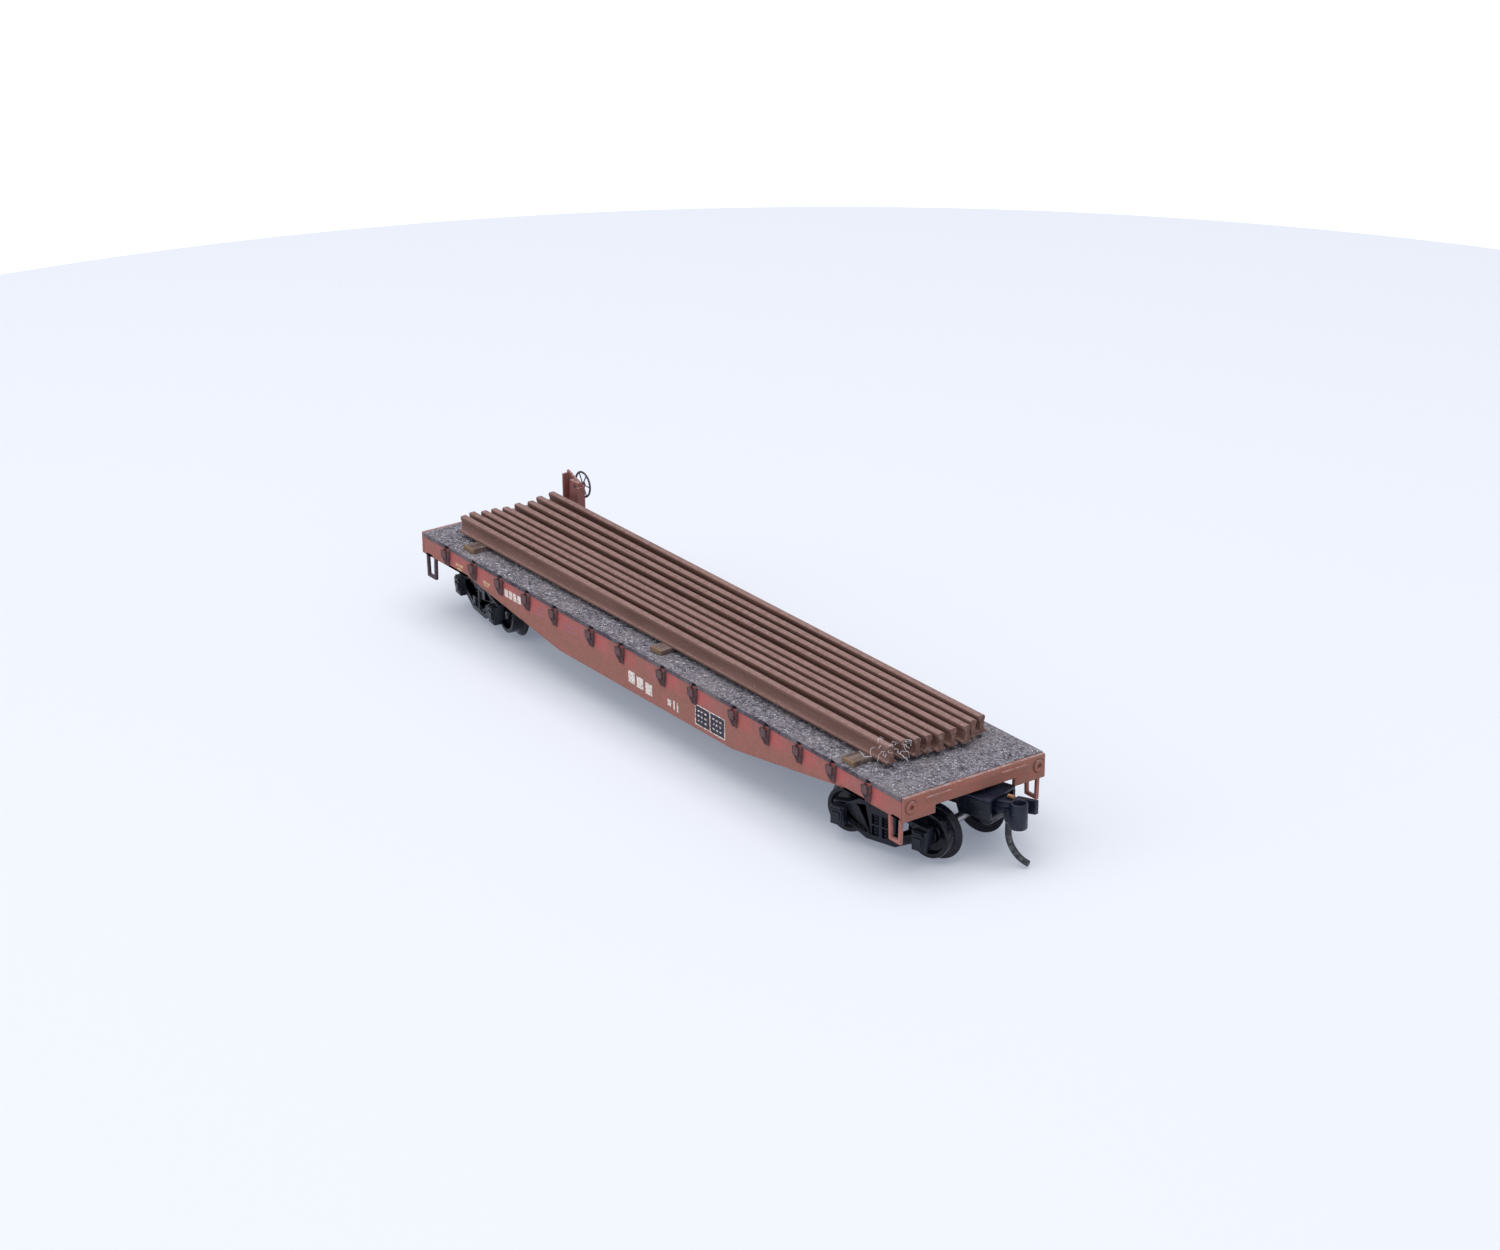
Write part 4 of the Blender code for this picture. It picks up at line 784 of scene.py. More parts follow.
def level_grid(name, low, high, level, step):
    bm = bmesh.new()
    count_x = max(2, round((high[0] - low[0]) / step))
    count_y = max(2, round((high[1] - low[1]) / step))
    place = Matrix.Translation(((low[0] + high[0]) / 2, (low[1] + high[1]) / 2, level)) @ Matrix.Diagonal(
        (high[0] - low[0], high[1] - low[1], 1, 1))
    bmesh.ops.create_grid(bm, x_segments=count_x, y_segments=count_y, size=0.5, matrix=place)
    return mesh_from(name, bm)


coat_base = level_grid("coat_base", deck_low, deck_high, deck_high.z - COAT_SUNK, COAT_STEP)
coat_mesh = coat.make("deck_coat", coat_base, deck_grit)
coat_mesh.shade_smooth()
add_detail("deck_coat", coat_mesh, "car_body", deck_grit)
print("deck coat", len(coat_mesh.polygons), "faces")

# %% Scatter recipe
scatter = Recipe("scatter", Shape=None, Per_Square_Metre=3.0e6, Smallest=0.5, Largest=1.2, Tilt=6.28,
                 Number_Seed=3)
spots = scatter.add("GeometryNodeDistributePointsOnFaces", {"distribute_method": "RANDOM"},
                    Mesh=scatter.given["Base"], Density=scatter.given["Per_Square_Metre"],
                    Seed=scatter.given["Number_Seed"])
grain_node = scatter.tree.nodes.new("GeometryNodeObjectInfo")
scatter.tree.links.new(scatter.given["Shape"], grain_node.inputs["Object"])
tilt_range = scatter.add("ShaderNodeCombineXYZ", X=scatter.given["Tilt"], Y=scatter.given["Tilt"], Z=6.28)
turn_each = scatter.add("FunctionNodeRandomValue", {"data_type": "FLOAT_VECTOR"}, Max=tilt_range,
                        Seed=scatter.given["Number_Seed"])
size_each = scatter.add("FunctionNodeRandomValue", {"data_type": "FLOAT"}, Min=scatter.given["Smallest"],
                        Max=scatter.given["Largest"], Seed=scatter.given["Number_Seed"])
scatter.finish(scatter.add("GeometryNodeInstanceOnPoints", Points=spots,
                           Instance=grain_node.outputs["Geometry"], Rotation=turn_each, Scale=size_each))


def crumb(name, width, depth, height, waist=0.55):
    """A small irregular lump with eight faces or so."""
    bm = bmesh.new()
    bmesh.ops.create_cone(bm, cap_ends=True, segments=4, radius1=width, radius2=width * waist, depth=height,
                          matrix=Matrix.Diagonal((1, depth / width, 1, 1)))
    return mesh_from(name, bm)


print("scatter recipe has", len(scatter.tree.nodes), "nodes")

# %% Grains and flecks on the deck
grain = crumb("grain", 0.085 * MM, 0.07 * MM, 0.09 * MM)
fleck = crumb("fleck", 0.034 * MM, 0.022 * MM, 0.24 * MM, 0.8)
deck_base = level_grid("deck_base", (deck_low.x + 0.1 * MM, deck_low.y + 0.35 * MM),
                       (deck_high.x, deck_high.y - 0.35 * MM), deck_high.z + GRAIN_RAISED, 5 * MM)
grains = scatter.make_from(grain, "deck_grains", deck_base, deck_grit, Per_Square_Metre=4.2e6)
flecks = scatter.make_from(fleck, "deck_flecks", deck_base.copy(), fleck_white, Per_Square_Metre=3.2e6,
                           Tilt=1.9, Number_Seed=11, Smallest=0.4, Largest=1.5)
add_detail("deck_grains", grains, "car_body", deck_grit)
add_detail("deck_flecks", flecks, "car_body", fleck_white)
print("grains", len(grains.polygons), "faces, flecks", len(flecks.polygons), "faces")

# %% [markdown]
# ## The load: nine rails on three strips of wood
#
# A rail is one outline carried along a line, which is what Curve to Mesh does. The outline is drawn once with
# its fillets, the recipe takes each rail's two ends from the CAD model, and a little noise bends the line,
# because thin rails sag and bow. A curve's frame has its second axis pointing down, so heights are negated.

# %% Rail recipe
RAIL_HEIGHT, RAIL_HEAD, RAIL_WEB, RAIL_FOOT = 2.03 * MM, 0.86 * MM, 0.56 * MM, 1.3 * MM


def rail_outline():
    """Half of the outline from the top down, in (half width, height), then its mirror."""
    head, web, foot, tall = RAIL_HEAD / 2, RAIL_WEB / 2, RAIL_FOOT / 2, RAIL_HEIGHT
    half = [(head * 0.55, tall), (head * 0.82, tall * 0.985), (head * 0.97, tall * 0.955),
            (head, tall * 0.91), (head * 0.99, tall * 0.79), (head * 0.9, tall * 0.75),
            (web * 1.15, tall * 0.69), (web, tall * 0.62), (web * 0.96, tall * 0.45),
            (web, tall * 0.3), (web * 1.2, tall * 0.21), (foot * 0.72, tall * 0.145),
            (foot * 0.95, tall * 0.105), (foot, tall * 0.07), (foot * 0.98, 0.0)]
    return half + [(-x, z) for x, z in reversed(half)]


def outline_mesh(name, outline):
    mesh = bpy.data.meshes.new(name)
    count = len(outline)
    edges = [(index, (index + 1) % count) for index in range(count)]
    mesh.from_pydata([(x, y, 0) for x, y in outline], edges, [])
    return mesh


rolled = Recipe("rolled_length", From=(0.0, 0.0, 0.0), To=(1.0, 0.0, 0.0), Bow=0.05 * MM, Wave=22.0)
line = rolled.add("GeometryNodeCurvePrimitiveLine", Start=rolled.given["From"], End=rolled.given["To"])
fine_line = rolled.add("GeometryNodeResampleCurve", Curve=line, Count=70)
wave = rolled.add("ShaderNodeTexNoise", Scale=rolled.given["Wave"], Detail=1.0)
wave_colour = rolled.tree.nodes[-1].outputs["Color"]
centred = rolled.add("ShaderNodeVectorMath", {"operation": "SUBTRACT"})
rolled.tree.links.new(wave_colour, rolled.tree.nodes[-1].inputs[0])
rolled.tree.nodes[-1].inputs[1].default_value = (0.5, 0.5, 0.5)
scaled = rolled.add("ShaderNodeVectorMath", {"operation": "SCALE"}, Vector=centred, Scale=rolled.given["Bow"])
bent = rolled.add("GeometryNodeSetPosition", Geometry=fine_line, Offset=scaled)
outline_curve = rolled.add("GeometryNodeMeshToCurve", Mesh=rolled.given["Base"])
rolled.finish(rolled.add("GeometryNodeCurveToMesh", Curve=bent, Profile_Curve=outline_curve, Fill_Caps=True))


def ends_of(node):
    """The middles of a long node's two end faces at its foot."""
    corners = np.array([corner.co for corner in frame["nodes"][node].data.vertices])
    middle = (corners[:, 0].min() + corners[:, 0].max()) / 2
    rear, front = corners[corners[:, 0] < middle], corners[corners[:, 0] > middle]
    foot = corners[:, 2].min()
    return [Vector((*((group.min(0) + group.max(0)) / 2)[:2], foot)) for group in (rear, front)]


rails = []
for number in range(1, 10):
    node = f"rail_{number}"
    rear, front = ends_of(node)
    outline = outline_mesh("rail_outline", [(x, -z) for x, z in rail_outline()])
    mesh = rolled.make(node + "_rolled", outline, rail_brown, From=rear, To=front)
    rails.append(show(node + "_rolled", smooth(mesh), node, rail_brown))
print("a rail has", len(rails[0].data.polygons), "faces")

# %% Dust on the railheads, on faces that look up and lie as high as the first rail's last corner
dust_level = rails[0].data.vertices[-1].co.z
tops = bmesh.new()
for rail in rails:
    tops.from_mesh(rail.data)
low_faces = [face for face in tops.faces if face.normal.z < 0.9 or face.calc_center_median().z < dust_level]
bmesh.ops.delete(tops, geom=low_faces, context="FACES")
rail_dust = scatter.make_from(fleck.copy(), "rail_dust", mesh_from("rail_tops", tops), fleck_white,
                              Per_Square_Metre=0.8e6, Tilt=1.7, Number_Seed=5, Smallest=0.3, Largest=0.9)
add_detail("rail_dust", rail_dust, "car_body", fleck_white)
print("dust lies above", round(dust_level / MM, 2), "mm, in flecks:", len(rail_dust.polygons) // 6)

# %% [markdown]
# ## Dunnage
#
# The rails rest on three strips of wood. Each is cut into small faces, roughened with a seeded jitter and
# rounded. Its ends are marked, because fresh end grain is paler and yellower than the weathered faces.

# %% Dunnage strips
SLICES_ACROSS, SLICES_ALONG = 29, 5


def dunnage_strip(node, seed):
    low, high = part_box(node)
    random = np.random.default_rng(seed)
    bm = bmesh.new()
    middle, size = (low + high) / 2, high - low
    bmesh.ops.create_cube(bm, size=1.0, matrix=Matrix.Translation(middle) @ Matrix.Diagonal((*size, 1)))
    for step in range(1, SLICES_ACROSS):
        slice_through(bm, (0, low.y + size.y * step / SLICES_ACROSS, 0), (0, 1, 0))
    for step in range(1, SLICES_ALONG):
        slice_through(bm, (low.x + size.x * step / SLICES_ALONG, 0, 0), (1, 0, 0))
    for corner in bm.verts:
        inward = (middle - corner.co).normalized()
        corner.co += inward * abs(random.normal(0, 0.025 * MM))
    mesh = mesh_from(node + "_sawn", bm)
    near_end = size.y * 0.485
    mark_points(mesh, "cut_end", [float(abs(corner.co.y - middle.y) > near_end) for corner in mesh.vertices])
    piece = show(mesh.name, mesh, node, dunnage_wood)
    round_edges(piece, 0.04 * MM, angle=50)
    return piece


strips = [dunnage_strip(f"dunnage_{number}", number) for number in (1, 2, 3)]
print("strips:", [len(strip.data.polygons) for strip in strips])

# %% [markdown]
# ## Trucks
#
# A truck stands turned on its pin, so its pieces are made in its own frame, x towards the coupler and y
# across, and then placed. The truck's place and heading come from the joints of the record.

# %% Where each truck stands
joint_named = {joint["name"]: joint for joint in frame["joints"]}


def truck_place(end):
    pivot = Vector(joint_named[f"truck_swivel_{end}"]["pos_m"])
    across = Vector(joint_named[f"wheelset_spin_{end}_outer"]["axis"])
    heading = math.atan2(-across.x, across.y)
    return Matrix.Translation((pivot.x, pivot.y, 0)) @ Matrix.Rotation(heading, 4, "Z")


WHEEL_BASE = 10.8 * MM
AXLE_LEVEL = 3.25 * MM
SIDEFRAME_FACE = 6.975 * MM
JOURNAL_FACE = 7.575 * MM
for end in ENDS:
    print(end, "truck stands", [round(value, 2) for value in truck_place(end).to_euler()], "rad")

# %% Wheels and axles
WHEEL_STEPS, AXLE_STEPS = 72, 40
BACK_TO_BACK, AXLE_HALF = 7.55 * MM, 6.85 * MM


def wheel_outline():
    """From the hub's outer end, round the dished face, the tread and the flange, to the back of the hub."""
    points = [(0.52, 1.93), (0.86, 1.93), (0.93, 1.88), (0.98, 1.72), (1.05, 1.42), (1.12, 1.34),
              (1.55, 1.28), (1.92, 1.33), (2.02, 1.45), (2.08, 1.84), (2.14, 1.96), (2.22, 2.0),
              (2.50, 2.0), (2.58, 1.97), (2.62, 1.88), (2.63, 1.3), (2.66, 0.70), (2.74, 0.58),
              (2.98, 0.50), (3.12, 0.42), (3.22, 0.32), (3.25, 0.22), (3.22, 0.12), (3.10, 0.04),
              (2.6, 0.0), (2.1, 0.06), (1.95, 0.2), (1.1, 0.3), (1.0, 0.1), (0.92, 0.02), (0.52, 0.0)]
    return [(radius * MM, along * MM) for radius, along in points]


def turned(name, outline, steps, closed=True):
    """An outline of (radius, height) turned round z. An open one starts and ends on the axis."""
    bm = bmesh.new()
    ring = [bm.verts.new((radius, 0, along)) for radius, along in outline]
    edges = [bm.edges.new((ring[index - 1], ring[index])) for index in range(0 if closed else 1, len(ring))]
    bmesh.ops.spin(bm, geom=ring + edges, cent=(0, 0, 0), axis=(0, 0, 1), angle=2 * math.pi, steps=steps,
                   use_merge=True, use_duplicate=False)
    bmesh.ops.remove_doubles(bm, verts=bm.verts, dist=1e-7)
    bmesh.ops.recalc_face_normals(bm, faces=bm.faces)
    return mesh_from(name, bm)


def axle_outline():
    """Half of a pointed axle, turned about z and closed on the axis at both tips."""
    reach = AXLE_HALF
    half = [(0.0, reach), (0.12 * MM, reach - 0.02 * MM), (0.22 * MM, reach - 0.15 * MM),
            (0.46 * MM, reach - 0.58 * MM), (0.5 * MM, reach - 0.68 * MM)]
    return half + [(radius, -along) for radius, along in reversed(half)]


wheel_shape = turned("wheel_shape", wheel_outline(), WHEEL_STEPS)
axle_shape = turned("axle_shape", axle_outline(), AXLE_STEPS, closed=False)
for end in ENDS:
    for place, x in (("outer", WHEEL_BASE / 2), ("inner", -WHEEL_BASE / 2)):
        stand = truck_place(end) @ Matrix.Translation((x, 0, AXLE_LEVEL))
        axle = axle_shape.copy()
        axle.transform(stand @ Matrix.Rotation(math.pi / 2, 4, "X"))
        show(f"axle_{end}_{place}_turned", smooth(axle, 40), f"axle_{end}_{place}", bare_steel)
        for hand, side in (("left", 1), ("right", -1)):
            wheel = wheel_shape.copy()
            shift = Matrix.Translation((0, side * BACK_TO_BACK / 2, 0))
            wheel.transform(stand @ (shift @ Matrix.Rotation(-side * math.pi / 2, 4, "X")))
            node = f"wheel_{end}_{place}_{hand}"
            show(node + "_turned", smooth(wheel, 28), node, wheel_plastic)
print("a wheel has", len(wheel_shape.polygons), "faces")

# %% Coil recipe: springs in the couplers and in the spring nests
coil = Recipe("coil", Turns=4.0, Radius=0.2 * MM, Length=1.0 * MM, Wire=0.08 * MM)
helix = coil.add("GeometryNodeCurveSpiral", Resolution=20, Rotations=coil.given["Turns"],
                 Start_Radius=coil.given["Radius"], End_Radius=coil.given["Radius"],
                 Height=coil.given["Length"])
wire = coil.add("GeometryNodeCurvePrimitiveCircle", Resolution=10, Radius=coil.given["Wire"])
coil.finish(coil.add("GeometryNodeCurveToMesh", Curve=helix, Profile_Curve=wire, Fill_Caps=True))


def coil_mesh(name, material, start, end, radius, turns, wire_radius):
    """A coil from start to end."""
    start, end = Vector(start), Vector(end)
    mesh = coil.make(name, points_mesh(name, []), material, Turns=turns, Radius=radius,
                     Length=(end - start).length, Wire=wire_radius)
    mesh.transform(Matrix.Translation(start) @ (end - start).to_track_quat("Z", "Y").to_matrix().to_4x4())
    return smooth(mesh, 60)


# Each coupler spring: where it starts and ends along the truck, its height, its turns and its wire.
COUPLER_SPRINGS = {"knuckle_spring": (11.68 * MM, 12.45 * MM, 7.58 * MM, 5.0, 0.055 * MM),
                   "draft_spring": (9.79 * MM, 10.42 * MM, 6.5 * MM, 4.0, 0.06 * MM)}
COUPLER_SPRING_RADIUS = 0.2 * MM
NEST_X, NEST_Y, NEST_FOOT, NEST_TOP = 0.67 * MM, 6.62 * MM, 1.95 * MM, 4.35 * MM
NEST_RADIUS, NEST_TURNS, NEST_WIRE = 0.25 * MM, 6.0, 0.1 * MM
for end in ENDS:
    for spring, (start, stop, level, turns, thin) in COUPLER_SPRINGS.items():
        node = f"{spring}_{end}"
        mesh = coil_mesh(node + "_coil", spring_bronze, (start, 0, level), (stop, 0, level),
                         COUPLER_SPRING_RADIUS, turns, thin)
        mesh.transform(truck_place(end))
        show(mesh.name, mesh, node, spring_bronze)
    bm = bmesh.new()
    for side in (-1, 1):
        for x in (-NEST_X, NEST_X):
            y = side * NEST_Y
            bm.from_mesh(coil_mesh("nest", truck_plastic, (x, y, NEST_FOOT), (x, y, NEST_TOP),
                                   NEST_RADIUS, NEST_TURNS, NEST_WIRE))
    nests = mesh_from(f"spring_nests_{end}", bm)
    nests.transform(truck_place(end))
    add_detail(nests.name, smooth(nests, 60), f"truck_{end}", truck_plastic)
print("coils made")

# %% [markdown]
# ## Castings on the sideframes
#
# A journal box has a lid with a hinge across its top and a raised rim, and bolt heads hold the pedestals. A
# lid is modelled once and placed four times. The bolt heads come from the same copies recipe as the pockets.

# %% Journal lids
def journal_lid():
    """A lid that faces +y, centred on the axle line, its back on the journal's end."""
    bm = bmesh.new()
    tapered_block(bm, (-0.80 * MM, 0.80 * MM, -0.1 * MM, 0.16 * MM, 0.78 * MM),
                  (-0.62 * MM, 0.62 * MM, -0.1 * MM, 0.06 * MM, -0.95 * MM))
    tapered_block(bm, (-0.52 * MM, 0.52 * MM, 0.0, 0.27 * MM, 0.45 * MM),
                  (-0.40 * MM, 0.40 * MM, 0.0, 0.15 * MM, -0.62 * MM))
    barrel = bmesh.ops.create_cone(bm, cap_ends=True, segments=14, radius1=0.17 * MM, radius2=0.17 * MM,
                                   depth=1.25 * MM)["verts"]
    hinge_place = Matrix.Translation((0, 0.05 * MM, 0.92 * MM)) @ Matrix.Rotation(math.pi / 2, 4, "Y")
    bmesh.ops.transform(bm, verts=barrel, matrix=hinge_place)
    bmesh.ops.bevel(bm, geom=bm.edges, offset=0.035 * MM, segments=2, affect="EDGES")
    return mesh_from("journal_lid", bm)


def bolt_head():
    bm = bmesh.new()
    bmesh.ops.create_cone(bm, cap_ends=True, segments=6, radius1=0.17 * MM, radius2=0.15 * MM, depth=0.2 * MM,
                          matrix=Matrix.Rotation(math.pi / 2, 4, "X"))
    bmesh.ops.bevel(bm, geom=bm.edges, offset=0.02 * MM, segments=1, affect="EDGES")
    return mesh_from("bolt_head", bm)


lid_shape, bolt_shape = journal_lid(), bolt_head()
BOLT_PLACES = ((-1.55, 5.3), (1.55, 5.3), (-1.55, 2.0), (1.55, 2.0),
               (-4.2, 4.55), (4.2, 4.55), (-4.1, 2.55), (4.1, 2.55))
for end in ENDS:
    bm = bmesh.new()
    for side, turn in ((1, 0.0), (-1, math.pi)):
        journals = [(x, side * JOURNAL_FACE, AXLE_LEVEL) for x in (-WHEEL_BASE / 2, WHEEL_BASE / 2)]
        bm.from_mesh(copies_of(lid_shape.copy(), "lids", journals, truck_plastic, turn))
        bolts = [(x * MM, side * SIDEFRAME_FACE, z * MM) for x, z in BOLT_PLACES]
        bm.from_mesh(copies_of(bolt_shape.copy(), "bolts", bolts, truck_plastic, turn))
    castings = mesh_from(f"sideframe_castings_{end}", bm)
    castings.transform(truck_place(end))
    add_detail(castings.name, smooth(castings, 40), f"truck_{end}", truck_plastic)
print("castings: a lid has", len(lid_shape.polygons), "faces, a bolt", len(bolt_shape.polygons))

# %% [markdown]
# ## Trip pin
#
# The curved pin under each coupler stands for the air hose. It is one smooth bend of soft iron wire, so it is
# a curve with a round bevel, made into a mesh so that its place can be baked into its corners.

# %% Trip pins
PIN_RADIUS, PIN_X, PIN_Y = 0.37 * MM, 12.1 * MM, -0.45 * MM
PIN_TIP, PIN_TOP = 0.5 * MM, 4.92 * MM


def pin_path(count=28):
    """Straight down at first, then a bend of eighty degrees towards the coupler's front."""
    fall = PIN_TOP - PIN_TIP
    points = [Vector((PIN_X, PIN_Y, PIN_TOP)), Vector((PIN_X, PIN_Y, PIN_TOP - fall * 0.15))]
    for index in range(count):
        turn = math.radians(80) * index / (count - 1)
        points.append(Vector((PIN_X + fall * 0.7 * (1 - math.cos(turn)), PIN_Y + 0.16 * MM * index / count,
                              PIN_TOP - fall * 0.3 - fall * 0.7 * math.sin(turn))))
    return points


def wire_mesh(name, points, radius, sides=6):
    curve = bpy.data.curves.new(name, "CURVE")
    curve.dimensions = "3D"
    curve.bevel_depth = radius
    curve.bevel_resolution = sides
    curve.use_fill_caps = True
    spline = curve.splines.new("POLY")
    spline.points.add(len(points) - 1)
    for index, (point, place) in enumerate(zip(spline.points, points)):
        point.co = (*place, 1)
        point.radius = 1.0 - 0.06 * (index / len(points)) ** 3
    draft = bpy.data.objects.new(name, curve)
    mesh = bpy.data.meshes.new_from_object(draft)
    bpy.data.objects.remove(draft)
    bm = bmesh.new()
    bm.from_mesh(mesh)
    bmesh.ops.remove_doubles(bm, verts=bm.verts, dist=1e-7)
    bmesh.ops.recalc_face_normals(bm, faces=bm.faces)
    return mesh_from(name, bm)


for end in ENDS:
    node = f"trip_pin_{end}"
    pin = wire_mesh(node + "_bent", pin_path(), PIN_RADIUS)
    pin.transform(truck_place(end))
    show(pin.name, smooth(pin, 50), node, trip_pin_grey)
print("trip pins bent")

# %% [markdown]
# ## Hand brake wheel
#
# The wheel is a thin rim, a hub and six spokes. The spokes repeat round a circle, so a recipe makes them from
# a count, and the rim is a circle carried round a circle.

# %% Brake wheel recipe
spoked = Recipe("spoked_wheel", Rim_Radius=1.61 * MM, Rim_Thick=0.13 * MM, Hub_Radius=0.36 * MM,
                Hub_Depth=0.36 * MM, Spoke_Thick=0.075 * MM, Spokes=6)
rim_line = spoked.add("GeometryNodeCurvePrimitiveCircle", Resolution=56, Radius=spoked.given["Rim_Radius"])
rim_round = spoked.add("GeometryNodeCurvePrimitiveCircle", Resolution=12, Radius=spoked.given["Rim_Thick"])
rim = spoked.add("GeometryNodeCurveToMesh", Curve=rim_line, Profile_Curve=rim_round)
hub = spoked.add("GeometryNodeMeshCylinder", Vertices=24, Radius=spoked.given["Hub_Radius"],
                 Depth=spoked.given["Hub_Depth"])
spoke = spoked.add("GeometryNodeMeshCylinder", Vertices=10, Radius=spoked.given["Spoke_Thick"],
                   Depth=spoked.given["Rim_Radius"])
half_reach = spoked.add("ShaderNodeMath", {"operation": "MULTIPLY"}, Value=spoked.given["Rim_Radius"])
spoked.tree.nodes[-1].inputs[1].default_value = 0.5
outward = spoked.add("ShaderNodeCombineXYZ", X=half_reach)
laid = spoked.add("GeometryNodeTransform", Geometry=spoke, Translation=outward, Rotation=(0, math.pi / 2, 0))
places = spoked.add("GeometryNodeMeshLine", Count=spoked.given["Spokes"], Offset=(0, 0, 0))
number = spoked.add("GeometryNodeInputIndex")
step = spoked.add("ShaderNodeMath", {"operation": "DIVIDE"}, Value=2 * math.pi)
spoked.tree.links.new(spoked.given["Spokes"], spoked.tree.nodes[-1].inputs[1])
angle = spoked.add("ShaderNodeMath", {"operation": "MULTIPLY"}, Value=number)
spoked.tree.links.new(step, spoked.tree.nodes[-1].inputs[1])
turn = spoked.add("ShaderNodeCombineXYZ", Z=angle)
spread = spoked.add("GeometryNodeInstanceOnPoints", Points=places, Instance=laid, Rotation=turn)
together = spoked.tree.nodes.new("GeometryNodeJoinGeometry")
for shape in (rim, hub, spread):
    spoked.tree.links.new(shape, together.inputs[0])
spoked.finish(together.outputs[0])

SHAFT_RADIUS, SHAFT_LONG, RIM_PLANE = 0.22 * MM, 1.2 * MM, 11.05 * MM
wheel_centre = Vector(joint_named["brake_wheel_spin"]["pos_m"])
mesh = spoked.make("brake_wheel_spoked", points_mesh("brake_base", []), brake_wheel_grey)
bm = bmesh.new()
bm.from_mesh(mesh)
bmesh.ops.create_cone(bm, cap_ends=True, segments=20, radius1=SHAFT_RADIUS, radius2=SHAFT_RADIUS,
                      depth=SHAFT_LONG, matrix=Matrix.Translation((0, 0, SHAFT_LONG / 2)))
mesh = mesh_from("brake_wheel_spoked", bm)
rim_place = Matrix.Translation((wheel_centre.x, RIM_PLANE, wheel_centre.z))
mesh.transform(rim_place @ Matrix.Rotation(math.pi / 2, 4, "X"))
show(mesh.name, smooth(mesh, 40), "brake_wheel", brake_wheel_grey)
print("brake wheel", len(mesh.polygons), "faces")

# %% [markdown]
# ## Worn markings
#
# The sides carry the ghosts of painted markings. They are plain blocks here, not letters: short worn bars in
# off-white and one dark panel with a pale border. Each bar is a thin patch just proud of the paint, its edges
# eaten by a seeded jitter.

# %% Marking patches
def worn_patch(bm, x0, x1, z0, z1, random, wear=0.05 * MM, step=0.09 * MM):
    """A patch in the plane of the side, cut into cells, with some cells missing, mostly at its edges."""
    columns, rows = max(2, round((x1 - x0) / step)), max(2, round((z1 - z0) / step))
    face_y = -sill_face - 0.012 * MM
    grid = [[bm.verts.new((x0 + (x1 - x0) * i / columns + random.normal(0, wear * 0.25), face_y,
                           z0 + (z1 - z0) * j / rows + random.normal(0, wear * 0.25)))
             for j in range(rows + 1)] for i in range(columns + 1)]
    for i in range(columns):
        for j in range(rows):
            at_edge = i in (0, columns - 1) or j in (0, rows - 1)
            if random.random() < (0.16 if at_edge else 0.05):
                continue
            bm.faces.new((grid[i][j], grid[i + 1][j], grid[i + 1][j + 1], grid[i][j + 1]))


def marking(name, patches, material, seed):
    random = np.random.default_rng(seed)
    bm = bmesh.new()
    for x0, x1, z0, z1 in patches:
        worn_patch(bm, x0 * MM, x1 * MM, z0 * MM, z1 * MM, random)
    loose = [corner for corner in bm.verts if not corner.link_faces]
    bmesh.ops.delete(bm, geom=loose, context="VERTS")
    return add_detail(name, mesh_from(name, bm), "car_body", material)


def marking_paint(name, worn, bright):
    paint = Finish(name, roughness=0.8, specular=0.25)
    return paint.colour(paint.mix(paint.fade(paint.noise(2600, 4), 0.30, 0.54), worn, bright)).material


white_paint = marking_paint("worn_white", (0.45, 0.30, 0.27), (0.80, 0.74, 0.68))
black_paint = marking_paint("worn_black", (0.10, 0.07, 0.08), (0.030, 0.035, 0.060))
ochre_paint = marking_paint("worn_ochre", (0.42, 0.20, 0.14), (0.62, 0.42, 0.25))
lilac_paint = marking_paint("worn_lilac", (0.42, 0.14, 0.15), (0.34, 0.15, 0.20))
# Each bar is (rear x, front x, low z, high z) in millimetres.
marking("white_bars", [(-2.9, -1.6, 5.75, 7.2), (-1.2, 0.1, 5.65, 7.05), (0.55, 1.9, 5.5, 6.9),
                       (5.0, 5.75, 5.6, 6.4), (6.15, 6.42, 5.4, 6.55), (6.85, 7.12, 5.35, 6.5),
                       (-29.4, -28.65, 7.75, 8.75), (-28.45, -27.7, 7.75, 8.75), (-27.5, -26.75, 7.75, 8.75),
                       (-26.55, -25.8, 7.75, 8.75)], white_paint, 1)
marking("panel_dark", [(10.6, 13.2, 5.35, 7.6), (13.5, 16.1, 5.35, 7.6)], black_paint, 2)
rows = [(x, x + 0.36, z, z + 0.2) for z in (6.95, 6.35, 5.75) for x in (10.95, 11.6, 12.3, 13.85, 14.5, 15.2)]
borders = [(10.45, 16.25, 7.6, 7.74), (10.45, 16.25, 5.2, 5.34), (10.45, 10.6, 5.3, 7.65),
           (16.1, 16.25, 5.3, 7.65), (13.27, 13.42, 5.3, 7.65)]
panel_marks = marking("panel_white", rows + borders, white_paint, 3)
panel_marks.data.transform(Matrix.Translation((0, -0.006 * MM, 0)))
marking("ochre_bars", [(-40.6, -39.9, 8.2, 8.6), (-39.7, -38.9, 8.2, 8.6), (-40.2, -39.2, 7.75, 8.05),
                       (-34.2, -33.5, 7.9, 8.3), (-33.4, -32.7, 7.9, 8.3),
                       (-34.0, -33.0, 7.6, 7.8)], ochre_paint, 4)
marking("lilac_bars", [(-22.6, -20.9, 8.25, 8.5), (-22.4, -20.8, 7.7, 7.9), (-16.5, -14.4, 8.3, 8.55),
                       (-16.3, -14.2, 7.75, 7.95)], lilac_paint, 6)
print("markings placed")

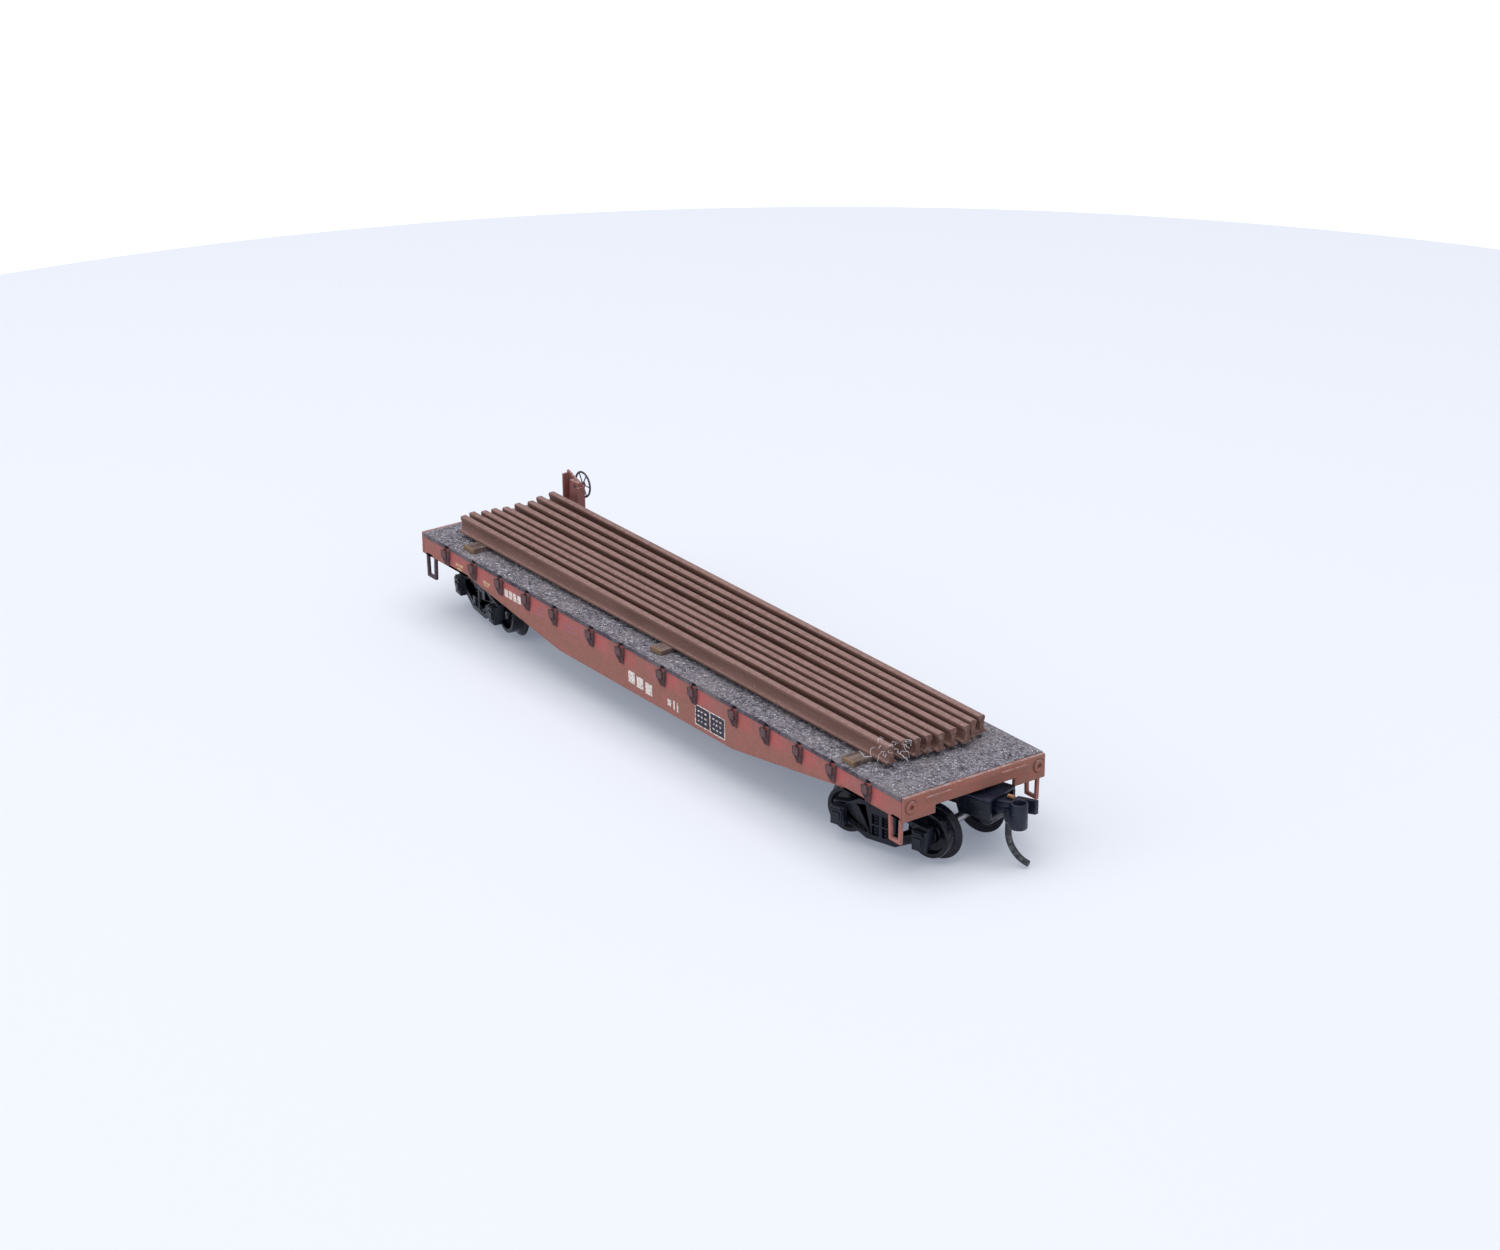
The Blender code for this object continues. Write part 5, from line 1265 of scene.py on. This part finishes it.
# %% [markdown]
# ## Lint and rings
#
# Two small things finish the near end. Lint has caught on the rail ends, as seeded strands of wire a few
# hundredths of a millimetre thick. A dark ring of dirt lies round each poling pocket on the end sills.

# %% Lint on the rail ends
def strand(random, start, length, steps=14):
    """A curling line of points from start, drifting forward and turning a little at each step."""
    limits = ((-0.4, 1.0), (-0.9, 0.9), (-0.5, 0.3))
    heading = Vector([random.uniform(low, high) for low, high in limits]).normalized()
    points = [Vector(start)]
    for index in range(steps):
        heading = (heading + Vector(random.normal(0, 0.38, 3))).normalized()
        points.append(points[-1] + heading * length / steps)
    return points


STRANDS = 26
random = np.random.default_rng(21)
lint = bmesh.new()
for index in range(STRANDS):
    start = (random.uniform(39.6, 41.9) * MM, random.normal(-5.3, 1.0) * MM, random.uniform(11.3, 12.95) * MM)
    points = strand(random, start, random.uniform(0.5, 2.6) * MM)
    draft = wire_mesh("strand", points, random.uniform(0.012, 0.026) * MM, 1)
    lint.from_mesh(draft)
    bpy.data.meshes.remove(draft)
add_detail("rail_lint", smooth(mesh_from("rail_lint", lint), 80), "car_body", fleck_white)
print("strands of lint:", STRANDS)

# %% Rings round the poling pockets
ring_dirt = Finish("ring_dirt", roughness=0.9, specular=0.2)
ring_shade = ring_dirt.mix(ring_dirt.noise(2400, 4), (0.10, 0.055, 0.05), (0.19, 0.09, 0.075))
ring_dark = ring_dirt.colour(ring_shade).material
rings = Recipe("ring_at_points", Ring_Radius=0.78 * MM, Ring_Thick=0.055 * MM)
ring_line = rings.add("GeometryNodeCurvePrimitiveCircle", Resolution=36, Radius=rings.given["Ring_Radius"])
ring_round = rings.add("GeometryNodeCurvePrimitiveCircle", Resolution=8, Radius=rings.given["Ring_Thick"])
ring_tube = rings.add("GeometryNodeCurveToMesh", Curve=ring_line, Profile_Curve=ring_round)
rings.finish(rings.add("GeometryNodeInstanceOnPoints", Points=rings.given["Base"], Instance=ring_tube,
                       Rotation=(0, math.pi / 2, 0)))
END_FACE, POLING_Y, POLING_Z = 48.5 * MM, 8.7 * MM, 9.0 * MM
for end, face in (("front", END_FACE), ("rear", -END_FACE)):
    centres = [(face, side * POLING_Y, POLING_Z) for side in (-1, 1)]
    ring_mesh = rings.make(f"poling_rings_{end}", points_mesh("ring_points", centres), ring_dark)
    add_detail(ring_mesh.name, smooth(ring_mesh, 60), "car_body", ring_dark)
print("poling rings placed")
